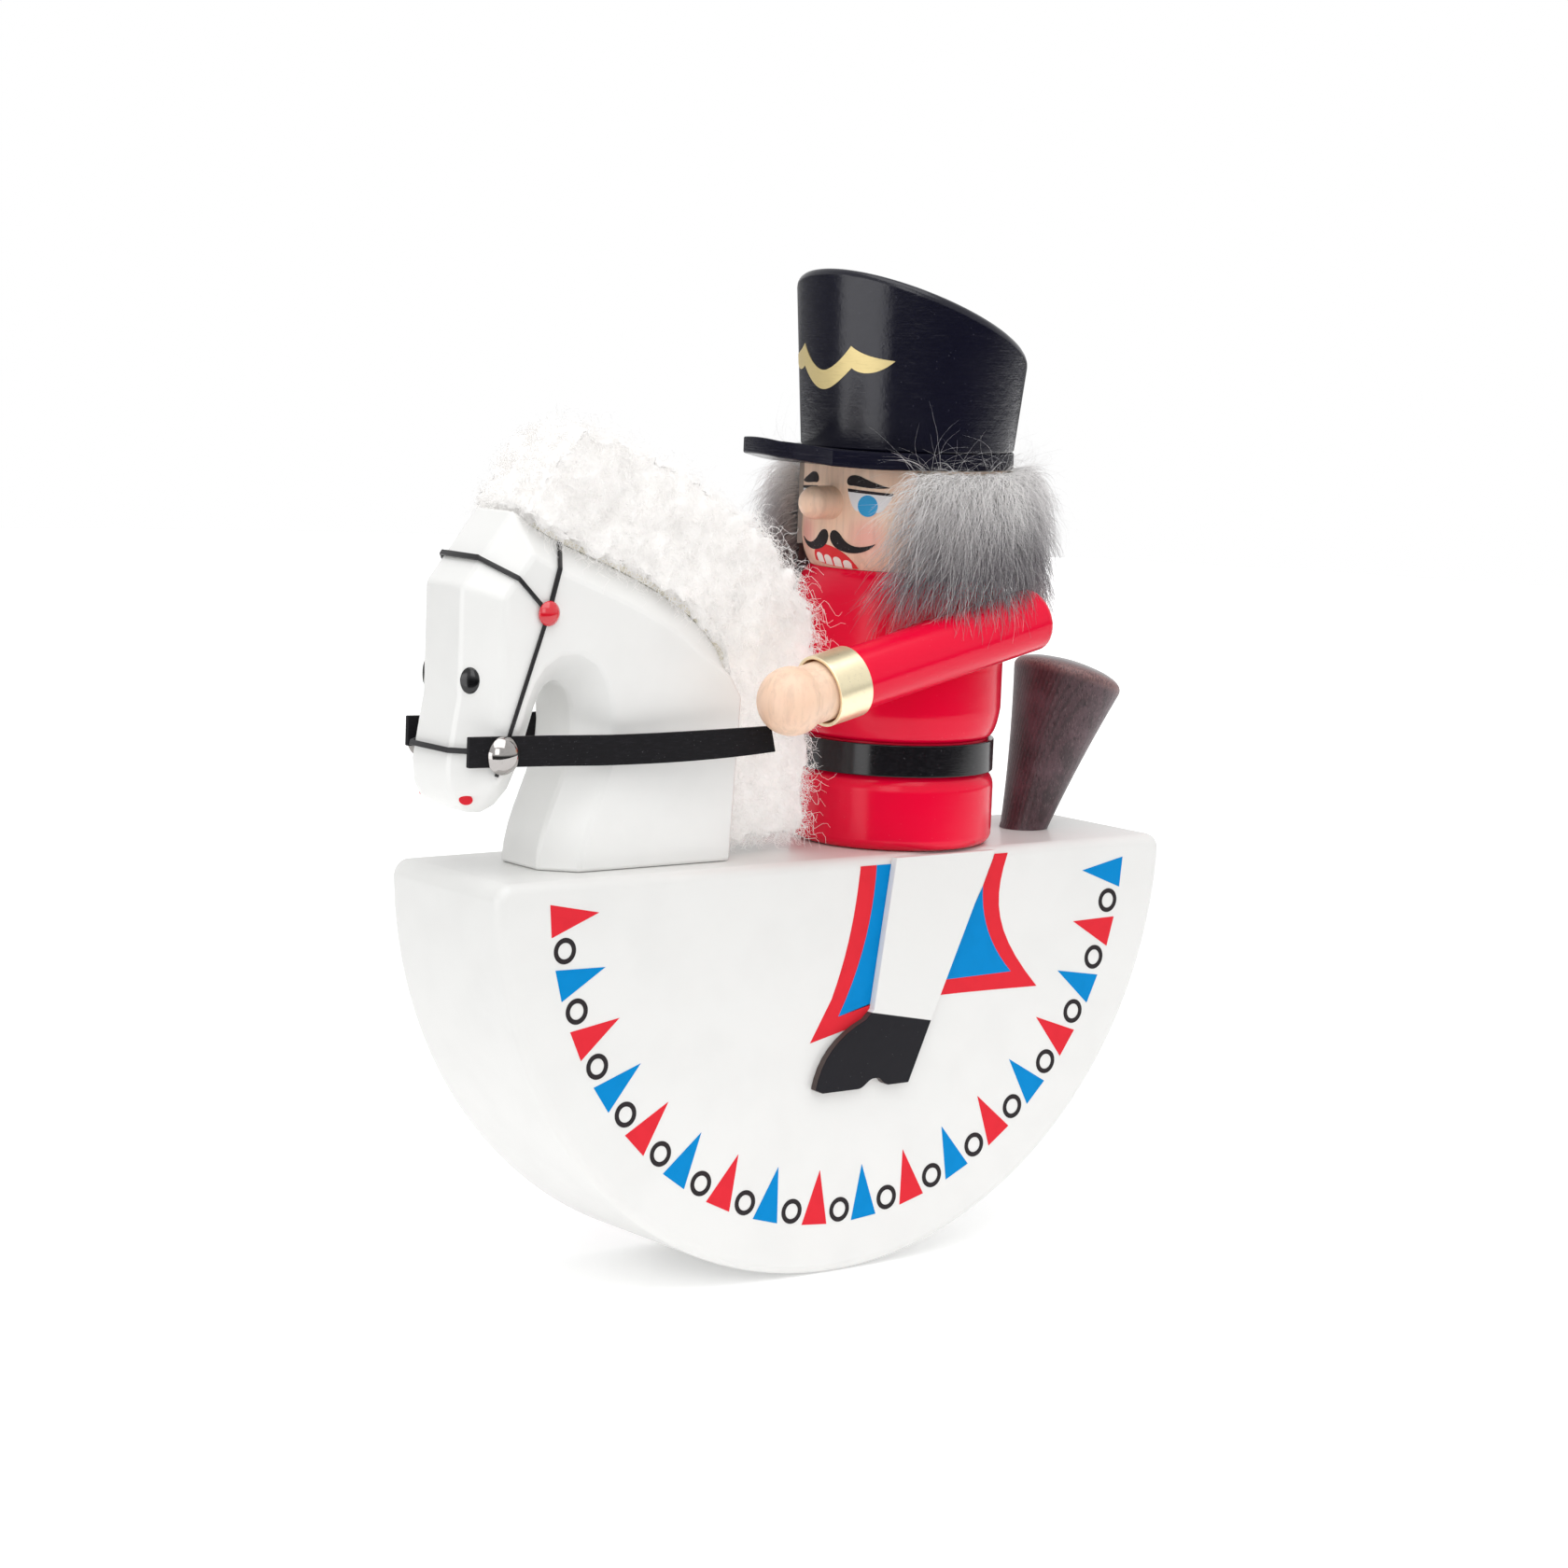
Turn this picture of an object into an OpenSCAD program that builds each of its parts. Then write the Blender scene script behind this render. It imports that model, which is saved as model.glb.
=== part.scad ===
// Rider on a rocking half round. A turned figure sits on a thick half disc and
// holds the reins of a horse that is cut from a board. The toy stands on the round
// edge of the half disc and rocks on it as one piece.
// Millimetres. X runs from the horse's nose (minus) to its tail (plus), Z is up, and
// the origin is the middle of the line on which the half disc stands.

/* [Rocker] */
// Radius of the half disc
rocker_r = 60; // [57:0.5:75]
// Thickness of the half disc
rocker_t = 27; // [22:0.5:36]
// Rounding of the curved edges
rocker_round = 1.3; // [0.5:0.1:2.5]
// Chamfer on the straight top edges
deck_chamfer = 1; // [0.3:0.1:2]
// Radius of the iron slug that keeps the toy upright
slug_r = 7; // [4:0.25:9]
// Length of the iron slug, across the rocker
slug_len = 20; // [10:0.5:21]
// Depth of the slug's middle under the deck
slug_depth = 47; // [40:0.5:48]
// Place of the slug along the rocker
slug_x = -0.5; // [-12:0.25:6]

/* [Horse] */
// Thickness of the horse's board
horse_t = 17; // [15:0.5:22]
// Width of the bevel along the board's edges
horse_bevel = 4.2; // [2:0.1:4.2]
// Place of the neck's rear edge along the rocker
horse_x = -18.7; // [-22:0.1:-18]
// Radius of the horse's two dowels
horse_dowel_r = 2.5; // [1.5:0.25:3]
// Distance between the horse's two dowels
horse_dowel_gap = 12; // [8:0.5:14]
// Depth of a dowel's hole in the board and in the rocker
horse_dowel_depth = 9; // [5:0.5:12]

/* [Mane and bridle] */
// Thickness of the wool's leather backing
hide_t = 0.8; // [0.4:0.1:1.2]
// Half of the mane's width
mane_half_w = 7.6; // [5:0.2:9]
// Thickness of the flat reins
rein_t = 0.8; // [0.5:0.1:1.4]
// Width of the flat reins
rein_w = 4.1; // [3:0.1:5]
// Thickness of the narrow bridle straps
strap_t = 0.35; // [0.25:0.05:0.6]
// Width of the narrow bridle straps
strap_w = 0.8; // [0.6:0.05:1]
// Radius of the domed nail that holds the rein
nail_r = 2.6; // [1.8:0.1:3]
// Height of that nail's head
nail_dome = 1.6; // [0.8:0.1:1.8]
// Radius of the red pin head on the cheek
rosette_r = 1.7; // [1.2:0.05:2]
// Height of the red pin's head
rosette_dome = 0.9; // [0.4:0.1:1.1]
// Radius of both kinds of nail shank
shank_r = 0.5; // [0.3:0.05:0.7]
// Length of the nail shanks inside the board
shank_len = 5; // [3:0.25:6]

/* [Rider's body] */
// Place of the rider's axis along the rocker
rider_x = 17.8; // [17:0.1:24]
// Radius of the chest
chest_r = 15.3; // [12:0.1:17]
// Radius of the hip, below the belt
hip_r = 14.7; // [12:0.1:16]
// Radius of the waist groove
waist_r = 13.7; // [10:0.1:14.2]
// Height of the belt's lower edge over the deck
belt_z = 10.8; // [8:0.1:14]
// Width of the belt
belt_w = 4.6; // [3:0.1:6]
// Thickness of the belt
belt_t = 0.8; // [0.4:0.1:1.2]
// Angle of the slit between the belt's ends, behind the back
belt_split = 4; // [2:1:12]
// Height of the shoulders' top over the deck
shoulder_z = 39.9; // [37:0.1:44]
// Radius of the groove between shoulders and head
neck_r = 13.3; // [10:0.1:14]
// Radius of the dowel under the body
body_dowel_r = 4; // [2.5:0.25:5]
// Depth of that dowel in the rocker and in the body
body_dowel_depth = 12; // [8:0.5:14]

/* [Rider's head and hat] */
// Radius of the head
head_r = 14.7; // [13.8:0.1:15.4]
// Height of the head
head_h = 14.6; // [12:0.1:18]
// Turn of the head and hat towards the rider's left
head_turn = 4.5; // [-10:0.5:10]
// Radius of the nose peg
nose_r = 2.4; // [1.8:0.1:3]
// How far the nose stands out of the face
nose_out = 5.4; // [3:0.1:7]
// Height of the nose over the shoulders' top
nose_z = 9.4; // [7:0.1:11]
// Thickness of the hat's brim
brim_t = 2.4; // [1.5:0.1:3]
// Radius of the brim round the head
brim_r = 15.5; // [15:0.1:17]
// Radius of the peak's front edge, from the hat's axis
peak_r = 25.2; // [21:0.1:30]
// Half of the peak's opening angle
peak_angle = 21.6; // [12:0.2:30]
// Upward bend of the peak
peak_bend = 3.4; // [0:0.2:8]
// Radius of the crown at its foot
crown_foot_r = 15.4; // [13:0.1:16]
// Radius of the crown at its front top
crown_top_r = 17.7; // [16:0.1:19]
// Backward lean of the crown
crown_lean = 2; // [-2:0.5:4]
// Height of the crown on its axis
crown_h = 18.3; // [16:0.1:26]
// Slope of the crown's cut top, from level
crown_slope = 23.1; // [5:0.1:26]
// Radius of the dowels in neck and hat
head_dowel_r = 3; // [2:0.25:4]
// Depth of each end of those dowels
head_dowel_depth = 6; // [4:0.25:6.5]

/* [Rider's hair] */
// Outer radius of the hair
hair_r = 21.6; // [18:0.1:24]
// Half of the opening that leaves the face free
face_half_angle = 50; // [40:1:60]
// Thickness of the fur's skin
skin_t = 0.8; // [0.4:0.1:1.2]

/* [Arms and legs] */
// Radius of the sleeves
sleeve_r = 4.5; // [3.5:0.1:5]
// Distance of an arm's axis from the middle plane
arm_y = 18; // [17.4:0.1:19.2]
// Slope of the arms, down to the front
arm_slope = 13.3; // [5:0.1:20]
// Height of the arm's axis over the deck, beside the rider's axis
arm_z = 31.4; // [30:0.1:32.4]
// Length of a sleeve behind the rider's axis
arm_back = 10.6; // [8:0.1:14]
// Distance from the rider's axis to the front of the cuff, along the arm
arm_front = 29.7; // [27:0.1:32]
// Length of the brass cuff
cuff_len = 5.6; // [3:0.1:8]
// Wall of the brass cuff
cuff_wall = 0.5; // [0.3:0.05:0.8]
// Radius of the hand
hand_r = 4.8; // [4:0.1:5.2]
// Radius of the hand's neck, inside the cuff
hand_neck_r = 4.2; // [3:0.1:4.4]
// Distance from the cuff's front to the middle of the round end
hand_out = 4.9; // [2:0.1:7]
// Radius of the peg inside sleeve and hand
wrist_peg_r = 1.5; // [1:0.1:2]
// Thickness of the leg plates
leg_t = 1.2; // [0.8:0.1:3]
// Place of the front of the thigh along the rocker
thigh_x = 6.5; // [0:0.1:10]

/* [Tail] */
// Place of the tail's foot along the rocker
tail_x = 43.8; // [42:0.1:48]
// Radius of the tail at its foot
tail_foot_r = 3.1; // [2.5:0.1:4.5]
// Radius of the tail at its top
tail_top_r = 8.2; // [6:0.1:10]
// Length of the tail along its axis
tail_len = 24.6; // [18:0.2:30]
// Lean of the tail to the rear
tail_lean = 18.5; // [5:0.5:22]
// Radius of the spigot under the tail
tail_spigot_r = 2; // [1.2:0.1:2.3]
// Length of that spigot
tail_spigot_len = 8; // [5:0.5:10]

/* [Hidden] */
$fn = 64;

// Clearance between a dowel and its hole, on the radius
fit = 0.05;
// Gap that keeps glued faces and soft pieces apart
seat = 0.05;
// Gap that keeps fur and wool clear of their neighbours
soft_gap = 0.3;
// A length that is longer than any piece
long = 400;

deck_z = rocker_r;
half_t = rocker_t / 2;
horse_half = horse_t / 2;
flat_half = horse_half - horse_bevel;
shoulder_top = deck_z + shoulder_z;
head_foot = shoulder_top + seat;
brim_foot = head_foot + head_h + seat;
crown_foot = brim_foot + brim_t + seat;
face_dir = 180 + head_turn;

red = [0.82, 0.05, 0.17];
white = [0.95, 0.95, 0.94];
black = [0.05, 0.05, 0.07];
bare_wood = [0.89, 0.76, 0.64];
dark_wood = [0.21, 0.13, 0.14];
brass = [0.80, 0.66, 0.36];
nickel = [0.80, 0.78, 0.75];
fur_grey = [0.55, 0.55, 0.57];
wool_white = [0.96, 0.95, 0.95];
iron = [0.45, 0.45, 0.47];

// Curves
function bezier(a, b, c, d, steps) = [
    for (i = [0 : steps - 1])
        let (t = i / steps, s = 1 - t)
        s * s * s * a + 3 * s * s * t * b + 3 * s * t * t * c + t * t * t * d
];
function unit(v) = v / norm(v);
function left_of(v) = [-v[1], v[0]];
function tangent(pts, i) = unit(pts[min(i + 1, len(pts) - 1)] - pts[max(i - 1, 0)]);
function beside(pts, d) = [for (i = [0 : len(pts) - 1]) pts[i] + d * left_of(tangent(pts, i))];
function reversed(pts) = [for (i = [len(pts) - 1 : -1 : 0]) pts[i]];
function around(pts, i) = pts[(i + len(pts)) % len(pts)];
// Closed outline moved inwards by d, with its corners kept sharp
function inset(pts, d) = [
    for (i = [0 : len(pts) - 1])
        let (
            a = left_of(unit(pts[i] - around(pts, i - 1))),
            b = left_of(unit(around(pts, i + 1) - pts[i]))
        )
        pts[i] + d * (a + b) / (1 + a * b)
];

// Triangles that fill an outline, by cutting off one ear after another; ids name its points
function turn(a, b, c) = (b - a) * left_of(c - b) * -1;
function in_triangle(p, a, b, c) = turn(a, b, p) >= 0 && turn(b, c, p) >= 0 && turn(c, a, p) >= 0;
function is_ear(pts, a, b, c, ids) =
    turn(pts[a], pts[b], pts[c]) > 0
    && len([
        for (i = ids)
            if (i != a && i != b && i != c && in_triangle(pts[i], pts[a], pts[b], pts[c])) i
    ]) == 0;
function first_ear(pts, ids, k) =
    k == len(ids) || is_ear(pts, around(ids, k - 1), ids[k], around(ids, k + 1), ids)
        ? k
        : first_ear(pts, ids, k + 1);
function triangles(pts, ids) =
    len(ids) < 3 ? [] :
    let (k = first_ear(pts, ids, 0))
    concat(
        [[around(ids, k - 1), around(ids, k), around(ids, k + 1)]],
        triangles(pts, [for (i = [0 : len(ids) - 1]) if (i != k) ids[i]])
    );

// Horse outline, from the neck's rear foot: x forward is minus, z over the deck
rear_foot = [0, seat];
rear_top = [1.7, 23];
poll_dip = [-23.9, 43.2];
head_top = [-34.7, 48.8];
brow = [-42.5, 38.9];
nose_bridge = [-42.5, 24];
muzzle_front = [-44, 15];
muzzle_back = [-32.8, 14.5];
jaw = [-30.3, 22.4];
throat = [-24.1, 19.5];
breast_foot = [-29.2, seat];
curve_steps = 9;
crest = concat(
    [rear_foot],
    bezier(rear_top, [2.6, 32.5], [-11, 38.3], poll_dip, curve_steps),
    bezier(poll_dip, [-27.6, 44.6], [-30.2, 45.6], head_top, 3)
);
horse_outline = concat(
    crest,
    [head_top, brow, nose_bridge],
    bezier(muzzle_front, [-44.3, 6.5], [-35.5, 5.9], muzzle_back, 7),
    bezier(jaw, [-28.8, 27.2], [-24.3, 27.6], throat, curve_steps),
    bezier(throat, [-23.9, 12.5], [-28.9, 8], breast_foot, 5),
    [breast_foot]
);

// Bridle points, in the horse's own x and z
rosette_at = [-31.5, 35.4];
nail_at = [-38.7, 16.8];
strap_tip = [-39, 14];
// Height of the browband over the brow, and of the noseband over the deck
browband_rise = 4.4;
noseband_z = 17.1;
// Point of the crest under the headstalls, their slant, and how far they end before the bevel's edge
stall_point = curve_steps + 2;
stall_slant = 0.8;
stall_short = 0.4;
// Share of the bevel that the noseband covers
noseband_reach = 0.93;
// Front end of the left and right rein, and the height of each one's rear end
rein_front = [[-44.1, 17.4], [-41.7, 18]];
rein_rear_z = [16.6, 16.4];

// Mane outline, in the horse's own x and z; the wool starts at the poll
poll = [-32.6, 47.6];
mane_front = [-34.4, 49.4];
mane_peak = [-25.2, 60.4];
mane_back_low = [18.6, 2];
mane_half_flat = 4.2;

// Places that several pieces share
hand_x = rider_x - (arm_front + hand_out) * cos(arm_slope);
hand_z = deck_z + arm_z - (arm_front + hand_out) * sin(arm_slope);
neck_mid = horse_x + (breast_foot[0] + rear_foot[0]) / 2;
dowel_xs = [neck_mid - horse_dowel_gap / 2, neck_mid + horse_dowel_gap / 2];

// Everything above the height z
module above(z) {
    translate([-long / 2, -long / 2, z])
        cube(long);
}

// Plate along the horse's side plane, from an outline in the horse's own x and z
module side_plate(pts, thick) {
    translate([horse_x, 0, deck_z])
        rotate([90, 0, 0])
            linear_extrude(height = thick, center = true)
                polygon(pts);
}

// Flat outline raised from the inner plane outwards; side is -1 for the rider's left
module on_side(side, inner, thick) {
    translate([horse_x, side * (inner + thick / 2), deck_z])
        rotate([90, 0, 0])
            linear_extrude(height = thick, center = true)
                children();
}

// Round pin along Y, from y0 to y1 on one side, at a point in the horse's own x and z
module side_pin(side, at, r, y0, y1) {
    translate([horse_x + at[0], side * (y0 + y1) / 2, deck_z + at[1]])
        rotate([90, 0, 0])
            cylinder(h = y1 - y0, r = r, center = true);
}

// Straight strip of a given width between two points
module strip(a, b, w) {
    n = w / 2 * left_of(unit(b - a));
    polygon([a + n, a - n, b - n, b + n]);
}

// Rocker
module rocker_disc() {
    // The profile of the half disc, with rounded outer corners
    translate([0, 0, deck_z])
        rotate([-90, 0, 0])
            rotate_extrude(angle = 180, $fn = 180)
                union() {
                    translate([0, -half_t + rocker_round])
                        square([rocker_r, rocker_t - 2 * rocker_round]);
                    translate([0, -half_t])
                        square([rocker_r - rocker_round, rocker_t]);
                    for (y = [-half_t + rocker_round, half_t - rocker_round])
                        translate([rocker_r - rocker_round, y])
                            circle(r = rocker_round, $fn = 32);
                }
}

module deck_edges() {
    // Chamfers along both sides and both ends of the flat deck
    for (side = [-1, 1]) {
        translate([0, side * half_t, deck_z])
            rotate([45, 0, 0])
                cube([2 * rocker_r + 2, sqrt(2) * deck_chamfer, sqrt(2) * deck_chamfer], center = true);
        translate([side * rocker_r, 0, deck_z])
            rotate([0, 45, 0])
                cube([sqrt(2) * deck_chamfer, rocker_t + 2, sqrt(2) * deck_chamfer], center = true);
    }
}

module rocker_base() {
    color(white)
        difference() {
            rocker_disc();
            deck_edges();
            for (x = dowel_xs)
                translate([x, 0, deck_z - horse_dowel_depth])
                    cylinder(h = horse_dowel_depth + 1, r = horse_dowel_r + fit);
            translate([rider_x, 0, deck_z - body_dowel_depth])
                cylinder(h = body_dowel_depth + 1, r = body_dowel_r + fit);
            translate([tail_x, 0, deck_z])
                rotate([0, tail_lean, 0])
                    translate([0, 0, -tail_spigot_len - seat])
                        cylinder(h = tail_spigot_len + 2, r = tail_spigot_r + fit);
            translate([slug_x, 0, deck_z - slug_depth])
                rotate([90, 0, 0])
                    cylinder(h = slug_len + 2 * fit, r = slug_r + fit, center = true);
        }
}

module balance_slug() {
    color(iron)
        translate([slug_x, 0, deck_z - slug_depth])
            rotate([90, 0, 0])
                cylinder(h = slug_len, r = slug_r, center = true);
}

// Horse
// Inner line of the bevel. Under the foot the outline runs on, so that the bevel does too
below_foot = 12;
bevel_line = inset(concat(
    [rear_foot - [0, below_foot]],
    horse_outline,
    [breast_foot - [0, below_foot]]
), horse_bevel);
// The straight rear of the neck, from the foot to rear_top, keeps its square edges
square_points = 2;

module beveled_board() {
    // Board whose other edges are beveled at 45 degrees
    n = len(horse_outline);
    face = concat(
        [for (i = [0 : n - 2]) i < square_points ? horse_outline[i] : bevel_line[i + 1]],
        [[bevel_line[n][0], seat]]
    );
    ys = [-horse_half, -flat_half, flat_half, horse_half];
    rings = [face, horse_outline, horse_outline, face];
    points = [for (k = [0 : 3]) for (p = rings[k]) [p[0], ys[k], p[1]]];
    sides = [
        for (k = [0 : 2]) for (i = [0 : n - 1])
            let (j = (i + 1) % n)
            each [[k * n + i, k * n + j, (k + 1) * n + j], [k * n + i, (k + 1) * n + j, (k + 1) * n + i]]
    ];
    ends = [
        for (t = triangles(face, [for (i = [0 : n - 1]) i]))
            each [reversed(t), [for (i = t) 3 * n + i]]
    ];
    translate([horse_x, 0, deck_z])
        polyhedron(points = points, faces = concat(sides, ends), convexity = 6);
}

module horse_board() {
    color(white)
        difference() {
            beveled_board();
            for (x = dowel_xs)
                translate([x, 0, deck_z - 1])
                    cylinder(h = horse_dowel_depth + 1, r = horse_dowel_r + fit);
            for (side = [-1, 1], at = [rosette_at, nail_at])
                side_pin(side, at, shank_r + fit, horse_half - shank_len, horse_half + 1);
        }
}

module horse_dowel(x) {
    color(bare_wood)
        translate([x, 0, deck_z - horse_dowel_depth + seat])
            cylinder(h = 2 * (horse_dowel_depth - seat), r = horse_dowel_r);
}

// Mane
hide_line = beside(crest, -seat);
hide_outer = beside(crest, -seat - hide_t);
wool_inner = beside(crest, -seat - hide_t - seat);
wool_round = 3.4;
wool_outer = concat(
    bezier(mane_front, [-32.5, 53], [-28, 58.5], mane_peak, 6),
    bezier(mane_peak, [-15, 58], [3, 51.5], [13, 38.5], 8),
    bezier([13, 38.5], [18, 31], [18.8, 22], mane_back_low, 6),
    [mane_back_low]
);

module mane_backing() {
    // A strip of skin along the crest, from the poll to the foot of the neck
    color(wool_white)
        intersection() {
            side_plate(concat(hide_line, reversed(hide_outer)), 2 * mane_half_flat);
            above(deck_z + seat);
        }
}

module mane_wool() {
    color(wool_white)
        difference() {
            translate([horse_x, 0, deck_z])
                rotate([90, 0, 0])
                    minkowski() {
                        linear_extrude(height = 2 * (mane_half_w - wool_round), center = true)
                            offset(delta = -wool_round)
                                polygon(concat([[-6, 2], [-12, 30]], [poll + [2, -3]], wool_outer));
                        sphere(r = wool_round, $fn = 14);
                    }
            // The neck, the skin and the rider keep their own room
            side_plate(concat(wool_inner, [poll + [-4, 0.4]], [[-30, 20], [-20, -4], [0, -4]]), long);
            translate([0, 0, deck_z + soft_gap - long])
                above(0);
            translate([rider_x, 0, deck_z - 1])
                cylinder(h = shoulder_z + 30, r = chest_r + soft_gap);
        }
}

// Cap of a sphere on the plane z = 0
module dome(r, h) {
    big = (r * r + h * h) / (2 * h);
    intersection() {
        translate([0, 0, h - big])
            sphere(r = big, $fn = 48);
        translate([0, 0, h])
            cube([3 * r, 3 * r, 2 * h], center = true);
    }
}

// Domed nail in the horse's cheek: the head stands on the plane y0, the shank goes in
module cheek_nail(side, at, r, h, y0) {
    translate([horse_x + at[0], side * y0, deck_z + at[1]])
        rotate([-side * 90, 0, 0]) {
            dome(r, h);
            translate([0, 0, horse_half - y0 - shank_len + 2 * seat])
                cylinder(h = y0 - horse_half + shank_len, r = shank_r, $fn = 32);
        }
}

// Bridle
strap_y = horse_half + seat;
rein_y = strap_y + strap_t + seat;
strap_start = shank_r + strap_w / 2;
function past(a, b, d) = a + d * unit(b - a);

function on_board(p, y) = [horse_x + p[0], y, deck_z + p[1]];
function out_of(a, b) = -left_of(unit(b - a));
function over_bevel(n, side) = unit([n[0], side, n[1]]);

// Straight piece of narrow strap that lies on the board from a to b, with n pointing out
module band(a, b, n) {
    v = b - a;
    yaw = atan2(v[1], v[0]);
    pitch = -asin(v[2] / norm(v));
    side = [-sin(yaw), cos(yaw), 0];
    top = [sin(pitch) * cos(yaw), sin(pitch) * sin(yaw), cos(pitch)];
    lap = strap_t / 2;
    translate(a)
        rotate([atan2(-n * side, n * top), pitch, yaw])
            translate([-lap, -strap_w / 2, seat])
                cube([norm(v) + 2 * lap, strap_w, strap_t]);
}

module cheek_strap(side) {
    // From the pin on the cheek to just under the nail, beside its shank
    color(black)
        on_side(side, strap_y, strap_t)
            difference() {
                strip(past(rosette_at, strap_tip, strap_start), strap_tip, strap_w);
                translate(nail_at)
                    circle(r = shank_r + fit, $fn = 32);
            }
}

module headstall(side) {
    // From the pin on the cheek up over the bevel to the mane
    a = crest[stall_point];
    along = unit(crest[stall_point + 1] - a);
    out = -left_of(along);
    bend = a + stall_slant * along - horse_bevel * out;
    top = a - stall_short * out;
    start = past(rosette_at, bend, strap_start);
    color(black) {
        band(on_board(start, side * horse_half), on_board(bend, side * horse_half), [0, side, 0]);
        band(on_board(bend, side * horse_half), on_board(top, side * (flat_half + stall_short)),
            over_bevel(out, side));
    }
}

module browband() {
    // Over the forehead, from one cheek pin to the other
    up = unit(head_top - brow);
    out = out_of(head_top, brow);
    rim = brow + browband_rise * up;
    bend = rim + 0.3 * up - horse_bevel * out;
    start = past(rosette_at, bend, strap_start);
    color(black) {
        for (side = [-1, 1]) {
            band(on_board(start, side * horse_half), on_board(bend, side * horse_half), [0, side, 0]);
            band(on_board(bend, side * horse_half), on_board(rim, side * flat_half), over_bevel(out, side));
        }
        band(on_board(rim, -flat_half), on_board(rim, flat_half), [out[0], 0, out[1]]);
    }
}

module noseband() {
    // Round the front of the nose, with its ends on the bevels beside the nails
    out = out_of(nose_bridge, muzzle_front);
    drop = (nose_bridge[1] - noseband_z) / (nose_bridge[1] - muzzle_front[1]);
    rim = nose_bridge + drop * (muzzle_front - nose_bridge);
    reach = noseband_reach * horse_bevel;
    bevel_end = rim + [reach / -out[0], 0];
    end_y = flat_half + reach;
    color(black) {
        for (side = [-1, 1])
            band(on_board(bevel_end, side * end_y), on_board(rim, side * flat_half), over_bevel(out, side));
        band(on_board(rim, -flat_half), on_board(rim, flat_half), [out[0], 0, out[1]]);
    }
}

module rosette(side) {
    color(red)
        cheek_nail(side, rosette_at, rosette_r, rosette_dome, rein_y);
}

module rein_nail(side) {
    color(nickel)
        cheek_nail(side, nail_at, nail_r, nail_dome, rein_y + rein_t + seat);
}

// Reins: they leave the cheek where it curves under to the jaw
rein_bend_x = horse_x + jaw[0] - 0.7;

module rein(side) {
    // Flat strap: along the cheek, then straight out to the hand, and a little down
    front = rein_front[side > 0 ? 1 : 0];
    rear_z = rein_rear_z[side > 0 ? 1 : 0];
    front_x = horse_x + front[0];
    drop = hand_z - deck_z - rear_z - rein_w / 2;
    bite = sqrt(max(0.3, hand_r * hand_r - drop * drop));
    rear_at = [hand_x, arm_y - bite - seat - rein_t];
    inner = [[front_x, rein_y], [rein_bend_x, rein_y], rear_at];
    outer = [for (p = inner) p + [0, rein_t]];
    fall = atan2(front[1] - rear_z, rear_at[0] - front_x);
    color(black)
        difference() {
            translate([front_x, 0, deck_z + front[1]])
                rotate([0, fall, 0])
                    translate([-front_x, 0, -rein_w / 2])
                        linear_extrude(height = rein_w)
                            mirror([0, side < 0 ? 1 : 0])
                                polygon(concat(inner, reversed(outer)));
            side_pin(side, nail_at, shank_r + fit, horse_half - 1, rein_y + rein_t + 1);
        }
}

// Rider's body
module body_profile() {
    foot_round = 1.6;
    chest_foot = belt_z + belt_w + 0.2;
    polygon(concat(
        [[0, seat]],
        bezier([hip_r - foot_round, seat], [hip_r - foot_round / 2, seat],
            [hip_r, foot_round / 2], [hip_r, foot_round], 4),
        [[hip_r, foot_round]],
        bezier([hip_r, belt_z - 2.4], [hip_r, belt_z - 1.2],
            [waist_r + 0.4, belt_z - 0.6], [waist_r, belt_z - 0.1], 4),
        [[waist_r, belt_z - 0.1]],
        bezier([waist_r, chest_foot], [waist_r + 0.6, chest_foot + 0.4],
            [chest_r - 0.4, chest_foot + 1.2], [chest_r, chest_foot + 4.4], 5),
        [[chest_r, chest_foot + 4.4]],
        bezier([chest_r, shoulder_z - 4.8], [chest_r, shoulder_z - 2.6],
            [chest_r - 0.8, shoulder_z - 1], [neck_r, shoulder_z], 6),
        [[neck_r, shoulder_z], [0, shoulder_z]]
    ));
}

module on_rider(z) {
    translate([rider_x, 0, z])
        children();
}

module rider_body() {
    color(red)
        difference() {
            on_rider(deck_z)
                rotate_extrude($fn = 96)
                    body_profile();
            on_rider(deck_z - 1)
                cylinder(h = body_dowel_depth + 1, r = body_dowel_r + fit);
            on_rider(shoulder_top - head_dowel_depth)
                cylinder(h = head_dowel_depth + 1, r = head_dowel_r + fit);
        }
}

module body_dowel() {
    color(bare_wood)
        on_rider(deck_z - body_dowel_depth + seat)
            cylinder(h = 2 * (body_dowel_depth - seat), r = body_dowel_r);
}

module belt() {
    // Open strap whose ends meet behind the back
    color(black)
        on_rider(deck_z + belt_z)
            rotate([0, 0, belt_split / 2])
                rotate_extrude(angle = 360 - belt_split, $fn = 96)
                    translate([waist_r + seat, 0])
                        square([belt_t, belt_w]);
}

// Rider's head
module head() {
    color(bare_wood)
        difference() {
            on_rider(head_foot)
                rotate_extrude($fn = 96)
                    polygon(concat(
                        [[0, 0]],
                        bezier([neck_r, 0], [neck_r + 0.7, 1], [head_r, 2.4], [head_r, 5], 5),
                        [[head_r, 5], [head_r, head_h], [0, head_h]]
                    ));
            on_rider(head_foot - 1)
                cylinder(h = head_dowel_depth + 1, r = head_dowel_r + fit);
            on_rider(head_foot + head_h - head_dowel_depth)
                cylinder(h = head_dowel_depth + 1, r = head_dowel_r + fit);
            nose_bore();
        }
}

module facing(z, at) {
    // Frame on the face, with its z axis pointing forward
    on_rider(z)
        rotate([0, 0, face_dir])
            translate([at, 0, 0])
                rotate([0, 90, 0])
                    children();
}

nose_in = 4;
module nose_bore() {
    facing(shoulder_top + nose_z, head_r - nose_in)
        cylinder(h = nose_in + 2, r = nose_r + fit, $fn = 48);
}

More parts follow.
